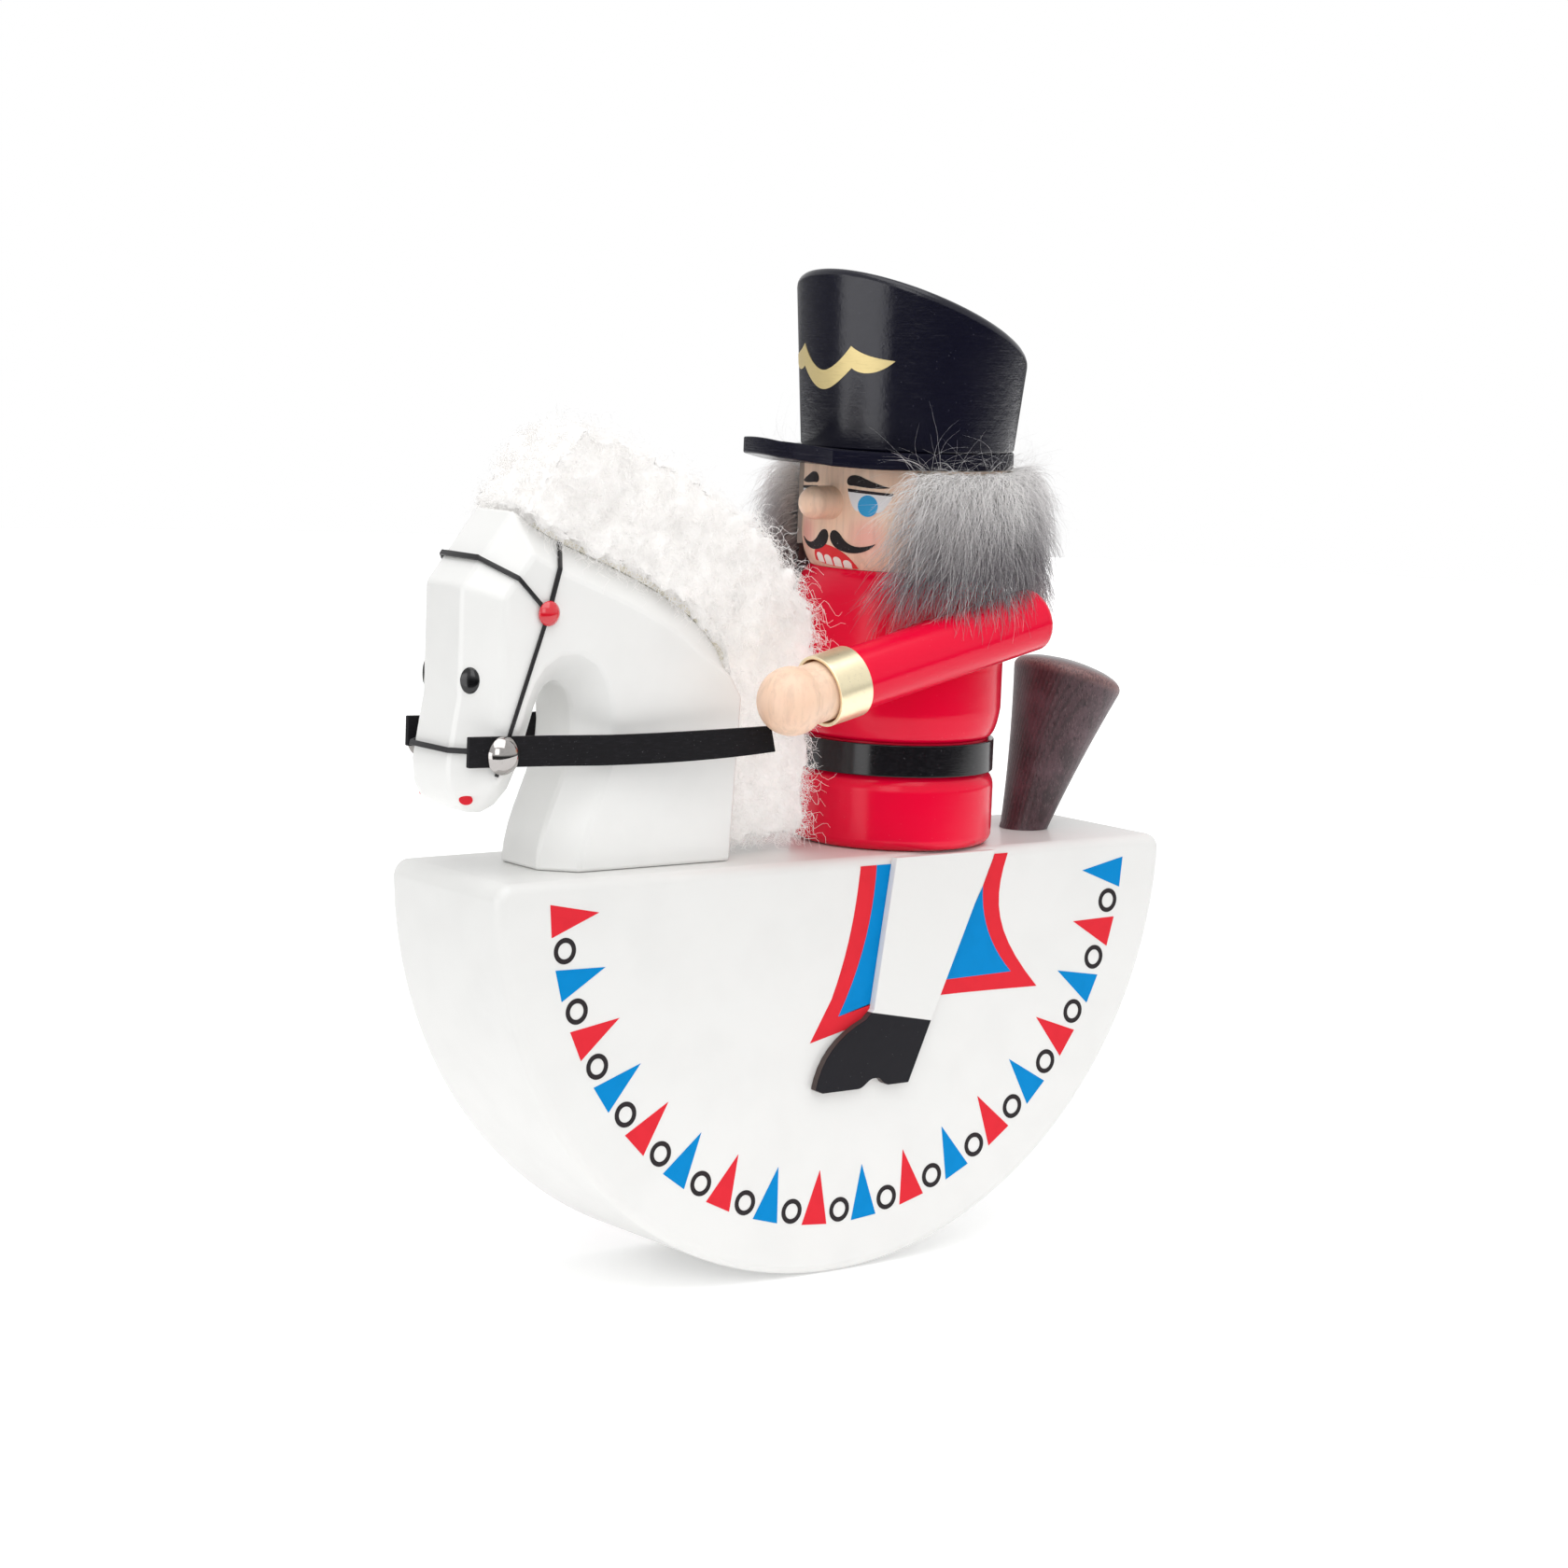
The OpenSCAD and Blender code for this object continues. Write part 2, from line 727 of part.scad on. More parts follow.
module nose() {
    color(bare_wood)
        facing(shoulder_top + nose_z, head_r - nose_in + seat) {
            cylinder(h = nose_in + nose_out - nose_r - seat, r = nose_r, $fn = 48);
            translate([0, 0, nose_in + nose_out - nose_r - seat])
                sphere(r = nose_r, $fn = 48);
        }
}

module neck_dowel() {
    color(bare_wood)
        on_rider(shoulder_top - head_dowel_depth + seat)
            cylinder(h = 2 * head_dowel_depth - seat, r = head_dowel_r);
}

// Rider's hair
skin_in = head_r + seat;
fur_in = skin_in + skin_t + seat;
skin_low = 2.6;

module round_the_back(half_angle) {
    // Turned band behind the face; half_angle is counted from straight behind
    on_rider(shoulder_top)
        rotate([0, 0, head_turn - half_angle])
            rotate_extrude(angle = 2 * half_angle, $fn = 96)
                children();
}

module hair_backing() {
    color(fur_grey)
        round_the_back(178 - face_half_angle)
            translate([skin_in, skin_low])
                square([skin_t, head_h - skin_low - soft_gap]);
}

module hair_fur() {
    fur_low = -1.2;
    fur_top = head_h - soft_gap;
    back_in = chest_r + soft_gap;
    back_low = -5.5;
    color(fur_grey)
        union() {
            round_the_back(180 - face_half_angle)
                polygon([
                    [fur_in, 0.6], [back_in, fur_low], [hair_r - 1.6, fur_low], [hair_r - 0.2, 1.4],
                    [hair_r, 5.6], [hair_r - 1, 10], [hair_r - 3.2, fur_top - 0.8],
                    [hair_r - 4.6, fur_top], [fur_in, fur_top]
                ]);
            round_the_back(37)
                polygon([
                    [back_in, back_low], [hair_r - 2.4, back_low], [hair_r - 1, back_low + 1.6],
                    [hair_r - 0.6, 2], [back_in, 2]
                ]);
        }
}

// Rider's hat
module brim_shape() {
    corner = peak_r * [cos(peak_angle), sin(peak_angle)];
    touch_angle = peak_angle + acos(brim_r / peak_r);
    touch = brim_r * [cos(touch_angle), sin(touch_angle)];
    apex = [peak_r / cos(peak_angle), 0];
    union() {
        circle(r = brim_r, $fn = 96);
        intersection() {
            circle(r = peak_r, $fn = 96);
            polygon([[0, 0], [touch[0], -touch[1]], [corner[0], -corner[1]], apex, corner, touch]);
        }
    }
}

// The peak bends along a line just in front of the crown
peak_hinge = crown_foot_r + 0.2;

module hat_brim() {
    // The plate is flat round the head, and its peak bends up
    color(black)
        on_rider(brim_foot)
            rotate([0, 0, face_dir])
                difference() {
                    union() {
                        cylinder(h = brim_t, r = brim_r, $fn = 96);
                        linear_extrude(height = brim_t)
                            intersection() {
                                brim_shape();
                                translate([peak_hinge - long, -long / 2])
                                    square(long);
                            }
                        translate([peak_hinge, 0, 0])
                            rotate([0, -peak_bend, 0])
                                linear_extrude(height = brim_t)
                                    translate([-peak_hinge, 0])
                                        intersection() {
                                            brim_shape();
                                            translate([peak_hinge - 0.1, -long / 2])
                                                square(long);
                                        }
                    }
                    translate([0, 0, -1])
                        cylinder(h = brim_t + 2, r = head_dowel_r + fit);
                }
}

module hat_crown() {
    // A leaning cone, cut level at its foot and sloping at its top
    front_h = crown_h + crown_top_r * tan(crown_slope);
    spare = 3;
    flare = spare * (crown_top_r - crown_foot_r) / front_h;
    color(black)
        on_rider(crown_foot)
            rotate([0, 0, head_turn])
                difference() {
                    rotate([0, crown_lean, 0])
                        translate([0, 0, -spare])
                            cylinder(h = front_h + 2 * spare, r1 = crown_foot_r - flare,
                                r2 = crown_top_r + flare, $fn = 96);
                    above(-long);
                    rotate([0, crown_lean, 0])
                        translate([0, 0, crown_h])
                            rotate([0, crown_slope - crown_lean, 0])
                                above(0);
                    translate([0, 0, -1])
                        cylinder(h = head_dowel_depth + 1, r = head_dowel_r + fit);
                }
}

module hat_dowel() {
    color(bare_wood)
        on_rider(head_foot + head_h - head_dowel_depth + seat)
            cylinder(h = 2 * head_dowel_depth + brim_t, r = head_dowel_r);
}

// Arms
module on_arm(side, along) {
    // Frame on an arm, with its z axis pointing forward along the arm
    translate([rider_x, side * arm_y, deck_z + arm_z])
        rotate([0, -90 - arm_slope, 0])
            translate([0, 0, along])
                children();
}

wrist_at = arm_front - 0.45 * cuff_len;
cuff_in = sleeve_r + fit;

module sleeve(side) {
    end_round = 1.2;
    length = arm_back + wrist_at;
    color(red)
        difference() {
            on_arm(side, -arm_back)
                rotate_extrude($fn = 64)
                    polygon(concat(
                        [[0, 0]],
                        bezier([sleeve_r - end_round, 0], [sleeve_r - end_round / 2, 0],
                            [sleeve_r, end_round / 2], [sleeve_r, end_round], 4),
                        [[sleeve_r, end_round], [sleeve_r, length], [0, length]]
                    ));
            // The inner side is hollowed to lie against the chest
            on_rider(deck_z)
                cylinder(h = shoulder_z + head_h, r = chest_r + seat, $fn = 96);
            on_arm(side, wrist_at - peg_in)
                cylinder(h = peg_in + 1, r = wrist_peg_r + fit);
        }
}

peg_in = 6;
module wrist_peg(side) {
    color(bare_wood)
        on_arm(side, wrist_at - peg_in + seat)
            cylinder(h = 2 * peg_in - seat, r = wrist_peg_r);
}

module cuff(side) {
    color(brass)
        on_arm(side, arm_front - cuff_len)
            difference() {
                cylinder(h = cuff_len, r = cuff_in + cuff_wall);
                translate([0, 0, -1])
                    cylinder(h = cuff_len + 2, r = cuff_in);
            }
}

module hand(side) {
    color(bare_wood)
        difference() {
            union() {
                on_arm(side, wrist_at + seat)
                    cylinder(h = arm_front - wrist_at + hand_out - seat, r = hand_neck_r);
                on_arm(side, arm_front + hand_out)
                    sphere(r = hand_r);
            }
            on_arm(side, wrist_at - 1)
                cylinder(h = peg_in + 1 + seat, r = wrist_peg_r + fit);
        }
}

// Legs, from the front of the thigh: x back is plus, z under the deck is minus
leg_outline = concat(
    [[0, -0.2], [19, -0.2], [8.3, -24.3], [4.5, -33.1], [0.8, -33.1]],
    bezier([0.8, -33.1], [-0.6, -32.8], [-0.4, -31.9], [-1.4, -31.9], 3),
    bezier([-1.9, -31.9], [-3, -31.9], [-3.6, -33.1], [-4.7, -33.2], 3),
    [[-11.6, -33.2], [-13, -32.6]],
    bezier([-13, -32.6], [-12.2, -28.4], [-9.6, -25.4], [-4.6, -23.4], 6),
    [[-4.6, -23.4], [-2.9, -21.9]]
);

module leg(side) {
    color(black)
        translate([thigh_x, side * (half_t + seat + leg_t / 2), deck_z])
            rotate([90, 0, 0])
                linear_extrude(height = leg_t, center = true)
                    polygon(leg_outline);
}

// Tail
module on_tail() {
    translate([tail_x, 0, deck_z])
        rotate([0, tail_lean, 0])
            children();
}

module tail() {
    // A flared plug that stands on the deck, with its spigot in the rocker
    foot_run = 3;
    rim_z = 0.93 * tail_len;
    color(dark_wood)
        union() {
            intersection() {
                on_tail()
                    rotate_extrude($fn = 64)
                        polygon(concat(
                            [[0, -foot_run], [tail_foot_r, -foot_run]],
                            bezier([tail_foot_r, 0], [tail_foot_r + 0.4, 0.36 * tail_len],
                                [tail_foot_r + 2.1, 0.68 * tail_len], [tail_top_r, rim_z], 9),
                            bezier([tail_top_r, rim_z], [tail_top_r + 0.3, tail_len - 0.5],
                                [tail_top_r - 0.8, tail_len], [tail_top_r - 3, tail_len + 0.2], 5),
                            [[0, tail_len + 0.6]]
                        ));
                above(deck_z + seat);
            }
            on_tail()
                translate([0, 0, -tail_spigot_len])
                    cylinder(h = tail_spigot_len + foot_run, r = tail_spigot_r);
        }
}

rocker_base();
balance_slug();
horse_board();
horse_dowel(dowel_xs[0]);  // horse_dowel_front
horse_dowel(dowel_xs[1]);  // horse_dowel_rear
mane_backing();
mane_wool();
browband();
noseband();
headstall(-1);  // headstall_left
headstall(1);  // headstall_right
cheek_strap(-1);  // cheek_strap_left
cheek_strap(1);  // cheek_strap_right
rosette(-1);  // rosette_left
rosette(1);  // rosette_right
rein_nail(-1);  // rein_nail_left
rein_nail(1);  // rein_nail_right
rein(-1);  // rein_left
rein(1);  // rein_right
rider_body();
body_dowel();
belt();
head();
neck_dowel();
nose();
hair_backing();
hair_fur();
hat_brim();
hat_crown();
hat_dowel();
sleeve(-1);  // sleeve_left
sleeve(1);  // sleeve_right
cuff(-1);  // cuff_left
cuff(1);  // cuff_right
wrist_peg(-1);  // wrist_peg_left
wrist_peg(1);  // wrist_peg_right
hand(-1);  // hand_left
hand(1);  // hand_right
leg(-1);  // leg_left
leg(1);  // leg_right
tail();
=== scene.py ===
"""Rocking wooden rider toy: paint, fur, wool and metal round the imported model.

Lengths inside the functions are millimetres in the toy's own frame: X runs from the
horse's nose to its tail, Y to the rider's right, and Z up from the line on which the
toy stands. A finished piece is turned into metres.
"""
import bisect
import math
import random

import bmesh
import bpy
from mathutils import Matrix, Vector, noise
from mathutils.geometry import interpolate_bezier


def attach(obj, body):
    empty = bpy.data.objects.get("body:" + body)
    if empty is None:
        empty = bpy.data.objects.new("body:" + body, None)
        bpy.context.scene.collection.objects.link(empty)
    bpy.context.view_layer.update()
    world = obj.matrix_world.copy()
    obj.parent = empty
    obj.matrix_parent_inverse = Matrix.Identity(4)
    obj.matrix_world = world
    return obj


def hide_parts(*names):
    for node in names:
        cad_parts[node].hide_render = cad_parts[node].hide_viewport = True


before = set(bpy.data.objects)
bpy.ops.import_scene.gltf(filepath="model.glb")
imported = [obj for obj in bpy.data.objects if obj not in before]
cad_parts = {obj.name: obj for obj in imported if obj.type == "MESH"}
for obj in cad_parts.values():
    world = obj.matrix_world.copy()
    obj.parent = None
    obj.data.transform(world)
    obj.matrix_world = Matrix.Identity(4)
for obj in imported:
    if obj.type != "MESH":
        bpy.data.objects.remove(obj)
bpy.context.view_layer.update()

bl_info = {
    "name": "Rocking wooden rider toy",
    "version": (1, 0, 0),
    "blender": (4, 5, 0),
    "location": "View3D > Sidebar > Rider toy",
    "description": "Builds the painted wood, fur, wool and metal of a rocking rider toy",
    "category": "Add Mesh",
}

MM = 0.001
BODY = "root"
SIDES = (-1, 1)          # the rider's left, which the camera sees, and the right
NAMED_SIDES = tuple(zip(SIDES, ("left", "right")))

DECK_Z = 60.0
HORSE_X = -18.7          # where the outlines of the horse and the mane start
HORSE_HALF = 8.5         # half the thickness of the board
RIDER_X = 17.8           # the rider's axis
CHEST_TURNED = 15.3      # radius of the chest in BODY_PROFILE
SHOULDER_Z = 99.9
HEAD_FOOT = 99.95
BRIM_FOOT = 114.6
CROWN_FOOT = 117.05
ARM_Y = 18.0
ARM_Z = 91.4
ARM_SLOPE = 13.3         # degrees below the level, towards the horse
SLEEVE_END = -10.6       # the sleeve's rear end, along the arm from the rider's axis
HAND_ALONG = 34.6        # the middle of the hand, likewise
HEAD_TURN = 4.5
FACE_DIR = 180 + HEAD_TURN
REIN_Y = 8.95
NAIL_AT = (-57.4, 76.8)
ROSETTE_AT = (-50.2, 95.4)
TAIL_AT = (43.8, 0, DECK_Z)
TAIL_LEAN = 18.5


def paint_tone(red, green, blue):
    """Linear colour of a tone that is given in screen values from 0 to 255."""
    def linear(value):
        value /= 255
        return value / 12.92 if value <= 0.04045 else ((value + 0.055) / 1.055) ** 2.4
    return (linear(red), linear(green), linear(blue), 1.0)


def length_property(name, description, default_mm):
    return bpy.props.FloatProperty(name=name, description=description, default=default_mm * MM,
                                   min=0.0001, max=0.5, precision=4, unit="LENGTH")


def tone_property(name, description, *screen):
    return bpy.props.FloatVectorProperty(name=name, description=description, subtype="COLOR",
                                         size=4, min=0.0, max=1.0, default=paint_tone(*screen))


class ToySizes(bpy.types.PropertyGroup):
    """Sizes that a user may change."""
    rocker_radius: length_property("Rocker radius", "Radius of the half disc", 60)
    rocker_thickness: length_property("Rocker thickness", "Thickness of the half disc", 27)
    rocker_round: length_property("Rocker edge", "Rounding of the half disc's curved edges", 1.6)
    horse_bevel: length_property("Horse bevel", "Width of the bevel round the horse's board", 4.2)
    rein_width: length_property("Rein width", "Width of the flat reins", 4.1)
    nail_radius: length_property("Nail radius", "Radius of the domed nails on the cheeks", 2.6)
    chest_radius: length_property("Chest radius", "Radius of the turned chest", CHEST_TURNED)
    head_radius: length_property("Head radius", "Radius of the turned head", 14.7)
    hand_radius: length_property("Hand radius", "Radius of the hands' round ends", 4.8)
    sleeve_radius: length_property("Sleeve radius", "Radius of the sleeves", 4.5)
    wool_fibre: length_property("Wool fibre", "Thickness of one fibre of the mane", 0.075)
    fur_hair: length_property("Fur hair", "Thickness of one hair of the fur at its root", 0.075)


class ToyTones(bpy.types.PropertyGroup):
    """Colours that a user may change."""
    white_paint: tone_property("White paint", "Paint of the rocker and trousers", 227, 227, 225)
    # Painted light: the horse has the same white lacquer as the rocker, but its copy is painted
    # lighter to make up for the shade that falls on the horse's board.
    horse_white_painted_lighter: tone_property("Horse paint", "Paint of the horse", 240, 240, 238)
    coat_red: tone_property("Coat red", "Paint of the body and the sleeves", 232, 0, 52)
    print_red: tone_property("Print red", "Red of the saddle and the triangles", 220, 44, 56)
    print_blue: tone_property("Print blue", "Blue of the saddle and the triangles", 0, 132, 200)
    print_black: tone_property("Print black", "Black of the rings and the fine lines", 48, 44, 46)
    hat_black: tone_property("Hat black", "Paint of the hat", 9, 9, 28)
    strap_black: tone_property("Strap black", "Colour of the reins and the bridle", 13, 12, 16)
    boot_black: tone_property("Boot black", "Paint of the boots", 17, 16, 23)
    bare_wood: tone_property("Bare wood", "Wood of the head and the hands", 247, 213, 187)
    tail_wood: tone_property("Tail wood", "Stained wood of the tail", 72, 50, 56)
    badge_gold: tone_property("Badge gold", "Metal leaf of the hat's badge", 212, 194, 142)
    iris_blue: tone_property("Iris blue", "Colour of the rider's eyes", 64, 164, 220)
    lip_red: tone_property("Lip red", "Colour of the rider's mouth", 226, 60, 64)
    fur_dark: tone_property("Dark fur", "Fur at the lower edge", 140, 136, 140)
    fur_light: tone_property("Light fur", "Fur at the top and the light hairs", 250, 248, 247)
    wool_white: tone_property("Wool", "Fleece of the mane", 250, 248, 246)


def mm(length):
    return length / MM


def sizes():
    return bpy.context.scene.toy_sizes


def tones():
    return bpy.context.scene.toy_tones


# Materials

def add_node(tree, kind, settings=None, sockets=None):
    """Adds a node of a kind: its settings first, then the values or links of its sockets."""
    made = tree.nodes.new(kind)
    for key, value in (settings or {}).items():
        setattr(made, key, value)
    for key, value in (sockets or {}).items():
        value = getattr(value, "socket", value)
        if isinstance(value, bpy.types.NodeSocket):
            tree.links.new(value, made.inputs[key])
        else:
            made.inputs[key].default_value = value
    return made


class Signal:
    """A value socket of a material; Python's signs add its Math nodes."""

    def __init__(self, paint, socket):
        self.paint = paint
        self.socket = socket

    def math(self, operation, other, reflected=False):
        pair = (other, self) if reflected else (self, other)
        made = self.paint.node("ShaderNodeMath", {"operation": operation}, dict(enumerate(pair)))
        return Signal(self.paint, made.outputs[0])

    def __add__(self, other):
        return self.math("ADD", other)

    def __radd__(self, other):
        return self.math("ADD", other, True)

    def __sub__(self, other):
        return self.math("SUBTRACT", other)

    def __rsub__(self, other):
        return self.math("SUBTRACT", other, True)

    def __mul__(self, other):
        return self.math("MULTIPLY", other)

    def __rmul__(self, other):
        return self.math("MULTIPLY", other, True)

    def __truediv__(self, other):
        return self.math("DIVIDE", other)

    def step(self, low, high):
        """0 below low, 1 above high, and smooth between them; low may be the greater."""
        made = self.paint.node(
            "ShaderNodeMapRange", {"interpolation_type": "SMOOTHSTEP"},
            {"Value": self, "From Min": low, "From Max": high})
        return Signal(self.paint, made.outputs[0])


class Paint:
    """One material with a Principled shader. Object coordinates are read in millimetres."""

    def __init__(self, name, colour, roughness, **constants):
        self.material = bpy.data.materials.new(name)
        self.material.use_nodes = True
        self.tree = self.material.node_tree
        self.tree.nodes.clear()
        self.colour = tuple(colour)
        self.shader = self.node("ShaderNodeBsdfPrincipled", sockets={
            "Base Color": self.colour, "Roughness": roughness, **constants})
        self.node("ShaderNodeOutputMaterial", sockets={"Surface": self.shader.outputs[0]})
        self.relief = None
        self.object_place = self.node("ShaderNodeTexCoord").outputs["Object"]

    def node(self, kind, settings=None, sockets=None):
        return add_node(self.tree, kind, settings, sockets)

    def place(self, centre=(0, 0, 0), turn=(0, 0, 0), stretch=(1, 1, 1)):
        """Object coordinates in millimetres from centre, turned, then stretched."""
        moved = self.node("ShaderNodeVectorMath", {"operation": "SUBTRACT"},
                          {0: self.object_place, 1: tuple(MM * c for c in centre)}).outputs[0]
        return self.node("ShaderNodeMapping", None, {
            "Vector": moved, "Rotation": tuple(math.radians(a) for a in turn),
            "Scale": tuple(s / MM for s in stretch)}).outputs[0]

    def axes(self, place):
        split = self.node("ShaderNodeSeparateXYZ", None, {0: place})
        return [Signal(self, split.outputs[i]) for i in range(3)]

    def distance(self, place):
        made = self.node("ShaderNodeVectorMath", {"operation": "LENGTH"}, {0: place})
        return Signal(self, made.outputs["Value"])

    def noise(self, place, scale, detail=2.0, rough=0.5, warp=0.0):
        made = self.node("ShaderNodeTexNoise", None, {
            "Vector": place, "Scale": scale, "Detail": detail, "Roughness": rough,
            "Distortion": warp})
        return Signal(self, made.outputs[0])

    def pits(self, place, scale):
        made = self.node("ShaderNodeTexVoronoi", {"feature": "F1"},
                         {"Vector": place, "Scale": scale})
        return Signal(self, made.outputs["Distance"])

    def growth_rings(self, place, scale, warp):
        made = self.node("ShaderNodeTexWave", {"wave_type": "RINGS", "rings_direction": "X"}, {
            "Vector": place, "Scale": scale, "Distortion": warp, "Detail": 2.0,
            "Detail Scale": 1.5})
        return Signal(self, made.outputs["Fac"])

    def attribute(self, name):
        made = self.node("ShaderNodeAttribute", {"attribute_name": name})
        return Signal(self, made.outputs["Fac"])

    def tint(self, mask, colour):
        """Lays another colour over the base colour, where the mask is 1."""
        made = self.node("ShaderNodeMix", {"data_type": "RGBA"},
                         {0: mask, 6: self.colour, 7: colour})
        self.colour = made.outputs[2]
        self.tree.links.new(self.colour, self.shader.inputs["Base Color"])

    def feed(self, socket, value):
        self.tree.links.new(value.socket, self.shader.inputs[socket])

    def emboss(self, height, depth):
        """Relief that is depth millimetres high where height is 1."""
        sockets = {"Height": height, "Distance": depth * MM, "Strength": 1.0}
        if self.relief is not None:
            sockets["Normal"] = self.relief
        self.relief = self.node("ShaderNodeBump", None, sockets).outputs[0]
        self.tree.links.new(self.relief, self.shader.inputs["Normal"])


def darker(tone, share):
    return tuple(c * share for c in tone[:3]) + (1.0,)


def mixed(first, second, share):
    return tuple(a + (b - a) * share for a, b in zip(first[:3], second[:3])) + (1.0,)


def gloss_paint(name, tone, roughness, coat, grain, stretch=(1, 1, 1), centre=(0, 0, 0),
                dust_tone=None, shine=0.5, rub=0.1):
    """Sprayed lacquer over sanded wood: a thin clear gloss, faint grain and dust specks."""
    paint = Paint(name, tone, roughness, **{"Coat Weight": coat, "Coat Roughness": 0.08,
                                            "Specular IOR Level": shine})
    place = paint.place(centre, stretch=stretch)
    grain_lines = paint.noise(place, 1.1, 3.0, 0.6)
    cloud = paint.noise(paint.place(centre), 0.12, 2.0)
    speck = paint.pits(paint.place(centre), 0.9).step(0.09, 0.04)
    paint.tint(cloud.step(0.35, 0.75) * 0.6, darker(tone, 0.955))
    paint.tint(speck * 0.35, dust_tone or mixed(tone, (1, 1, 1), 0.12))
    paint.feed("Roughness", roughness + rub * grain_lines + rub * cloud)
    paint.emboss(grain_lines, grain)
    paint.emboss(paint.noise(paint.place(centre), 0.45, 1.0), grain * 1.6)
    return paint


def white_paint(name, tone):
    """White lacquer on a sawn board."""
    return gloss_paint(name, tone, 0.3, 0.25, 0.012, (0.25, 1.2, 1.2))


def red_paint(name, centre, turn=(0, 0, 0)):
    """Red lacquer on turned wood, with fine turning lines across the axis."""
    paint = gloss_paint(name, tones().coat_red, 0.13, 0.0, 0.006, centre=centre,
                        shine=0.27, rub=0.06)
    lines = paint.noise(paint.place(centre, turn, (0.05, 0.05, 2.2)), 1.0, 2.0)
    paint.emboss(lines, 0.014)
    return paint


def hat_paint(name, coarse=1.0, shine=0.5):
    """Near-black lacquer with a bluish cast and fine level grain."""
    paint = gloss_paint(name, tones().hat_black, 0.13, 0.0, 0.012 * coarse, (0.25, 0.25, 3.0),
                        (RIDER_X, 0, BRIM_FOOT), (0.12, 0.12, 0.15, 1), shine, 0.08)
    place = paint.place((RIDER_X, 0, BRIM_FOOT), stretch=(0.2, 0.2, 4.5))
    fibre = paint.noise(place, 1.4, 4.0, 0.65)
    paint.tint(fibre.step(0.56, 0.74) * 0.12 * coarse, paint_tone(80, 78, 88))
    paint.emboss(paint.noise(paint.place(), 0.7, 4.0, 0.7), 0.045)
    return paint


def bare_wood(name, centre=(0, 0, 0), turn=(0, 0, 0)):
    """Pale turned wood: growth lines along it, short flecks and fine pores."""
    tone = tones().bare_wood
    paint = Paint(name, tone, 0.42, **{"Coat Weight": 0.18, "Coat Roughness": 0.25,
                                       "Subsurface Weight": 0.05, "Subsurface Scale": 0.002})
    long_grain = paint.noise(paint.place(centre, turn, (1.0, 1.0, 0.12)), 0.9, 4.0, 0.6, 0.4)
    fleck = paint.pits(paint.place(centre, turn, (2.2, 2.2, 0.5)), 1.0).step(0.2, 0.08)
    cloud = paint.noise(paint.place(centre), 0.14, 2.0)
    paint.tint(long_grain.step(0.42, 0.66) * 0.75, darker(tone, 0.8))
    paint.tint(cloud.step(0.4, 0.75) * 0.4, mixed(tone, paint_tone(240, 178, 140), 0.45))
    paint.tint(fleck * 0.3, darker(tone, 0.66))
    paint.feed("Roughness", 0.36 + 0.2 * long_grain)
    paint.emboss(long_grain, 0.03)
    paint.emboss(fleck, -0.02)
    return paint


def blush(paint, spots, radius, share):
    """Rubs a soft pink round each spot, as on a doll's cheeks."""
    for spot in spots:
        near = paint.distance(paint.place(spot)).step(radius, radius * 0.1)
        paint.tint(near * share, paint_tone(238, 130, 128))


def tail_wood():
    """Dark stained wood with curved growth lines and pores, glossy on its end."""
    tone = tones().tail_wood
    paint = Paint("tail_wood", tone, 0.4, **{"Coat Weight": 0.12, "Coat Roughness": 0.25})
    upright = (0, -TAIL_LEAN, 0)
    trunk_heart = (43.8, -34, 52)
    place = paint.place(TAIL_AT, upright)
    rings = paint.growth_rings(paint.place(trunk_heart, (8, -TAIL_LEAN, 0), (1, 1, 0.55)),
                               0.55, 3.0)
    pores = paint.noise(paint.place(TAIL_AT, upright, (3.0, 3.0, 0.9)), 1.5, 4.0, 0.7)
    cloud = paint.noise(place, 0.22, 2.0)
    paint.tint(rings.step(0.5, 0.9) * 0.65, darker(tone, 0.45))
    paint.tint(cloud.step(0.4, 0.75) * 0.5, paint_tone(106, 80, 88))
    paint.tint(pores.step(0.55, 0.68) * 0.7, darker(tone, 0.3))
    paint.tint(pores.step(0.44, 0.36) * 0.4, paint_tone(122, 98, 100))
    along = paint.axes(place)[2]
    rim = along.step(22.6, 24.2) * along.step(25.4, 24.6)
    paint.tint(rim * pores.step(0.35, 0.6) * 0.7, paint_tone(166, 128, 124))
    paint.feed("Coat Weight", 0.1 + 0.9 * along.step(24.3, 25.2))
    paint.feed("Roughness", 0.3 + 0.3 * pores)
    paint.emboss(pores.step(0.58, 0.68), -0.05)
    paint.emboss(rings, 0.02)
    return paint


def flat_print(name, tone, roughness=0.42, speckle=0.0):
    """Thin printed or brushed paint that lies on the lacquer."""
    paint = Paint(name, tone, roughness, **{"Specular IOR Level": 0.06})
    place = paint.place()
    cloud = paint.noise(place, 0.5, 3.0)
    paint.tint(cloud.step(0.4, 0.75) * 0.35, darker(tone, 0.88))
    if speckle:
        dust = paint.noise(place, 2.6, 3.0, 0.7).step(0.62, 0.72)
        paint.tint(dust * speckle, mixed(tone, (1, 1, 1), 0.35))
    paint.feed("Roughness", roughness + 0.12 * cloud)
    paint.emboss(paint.noise(place, 1.8, 2.0), 0.006)
    return paint


def metal(name, tone, roughness, dent, scratch, stretch=(1, 1, 1), share=1.0):
    """Bright sheet metal with dents and rubbed scratches; share is how far it is metallic."""
    paint = Paint(name, tone, roughness, Metallic=share)
    place = paint.place()
    rub = paint.noise(paint.place(stretch=stretch), 1.6, 4.0, 0.65)
    dents = paint.noise(place, 0.55, 1.0)
    paint.tint(rub.step(0.5, 0.8) * 0.5, darker(tone, 0.72))
    paint.feed("Roughness", roughness + scratch * rub)
    paint.emboss(dents, dent)
    paint.emboss(rub, 0.004)
    return paint


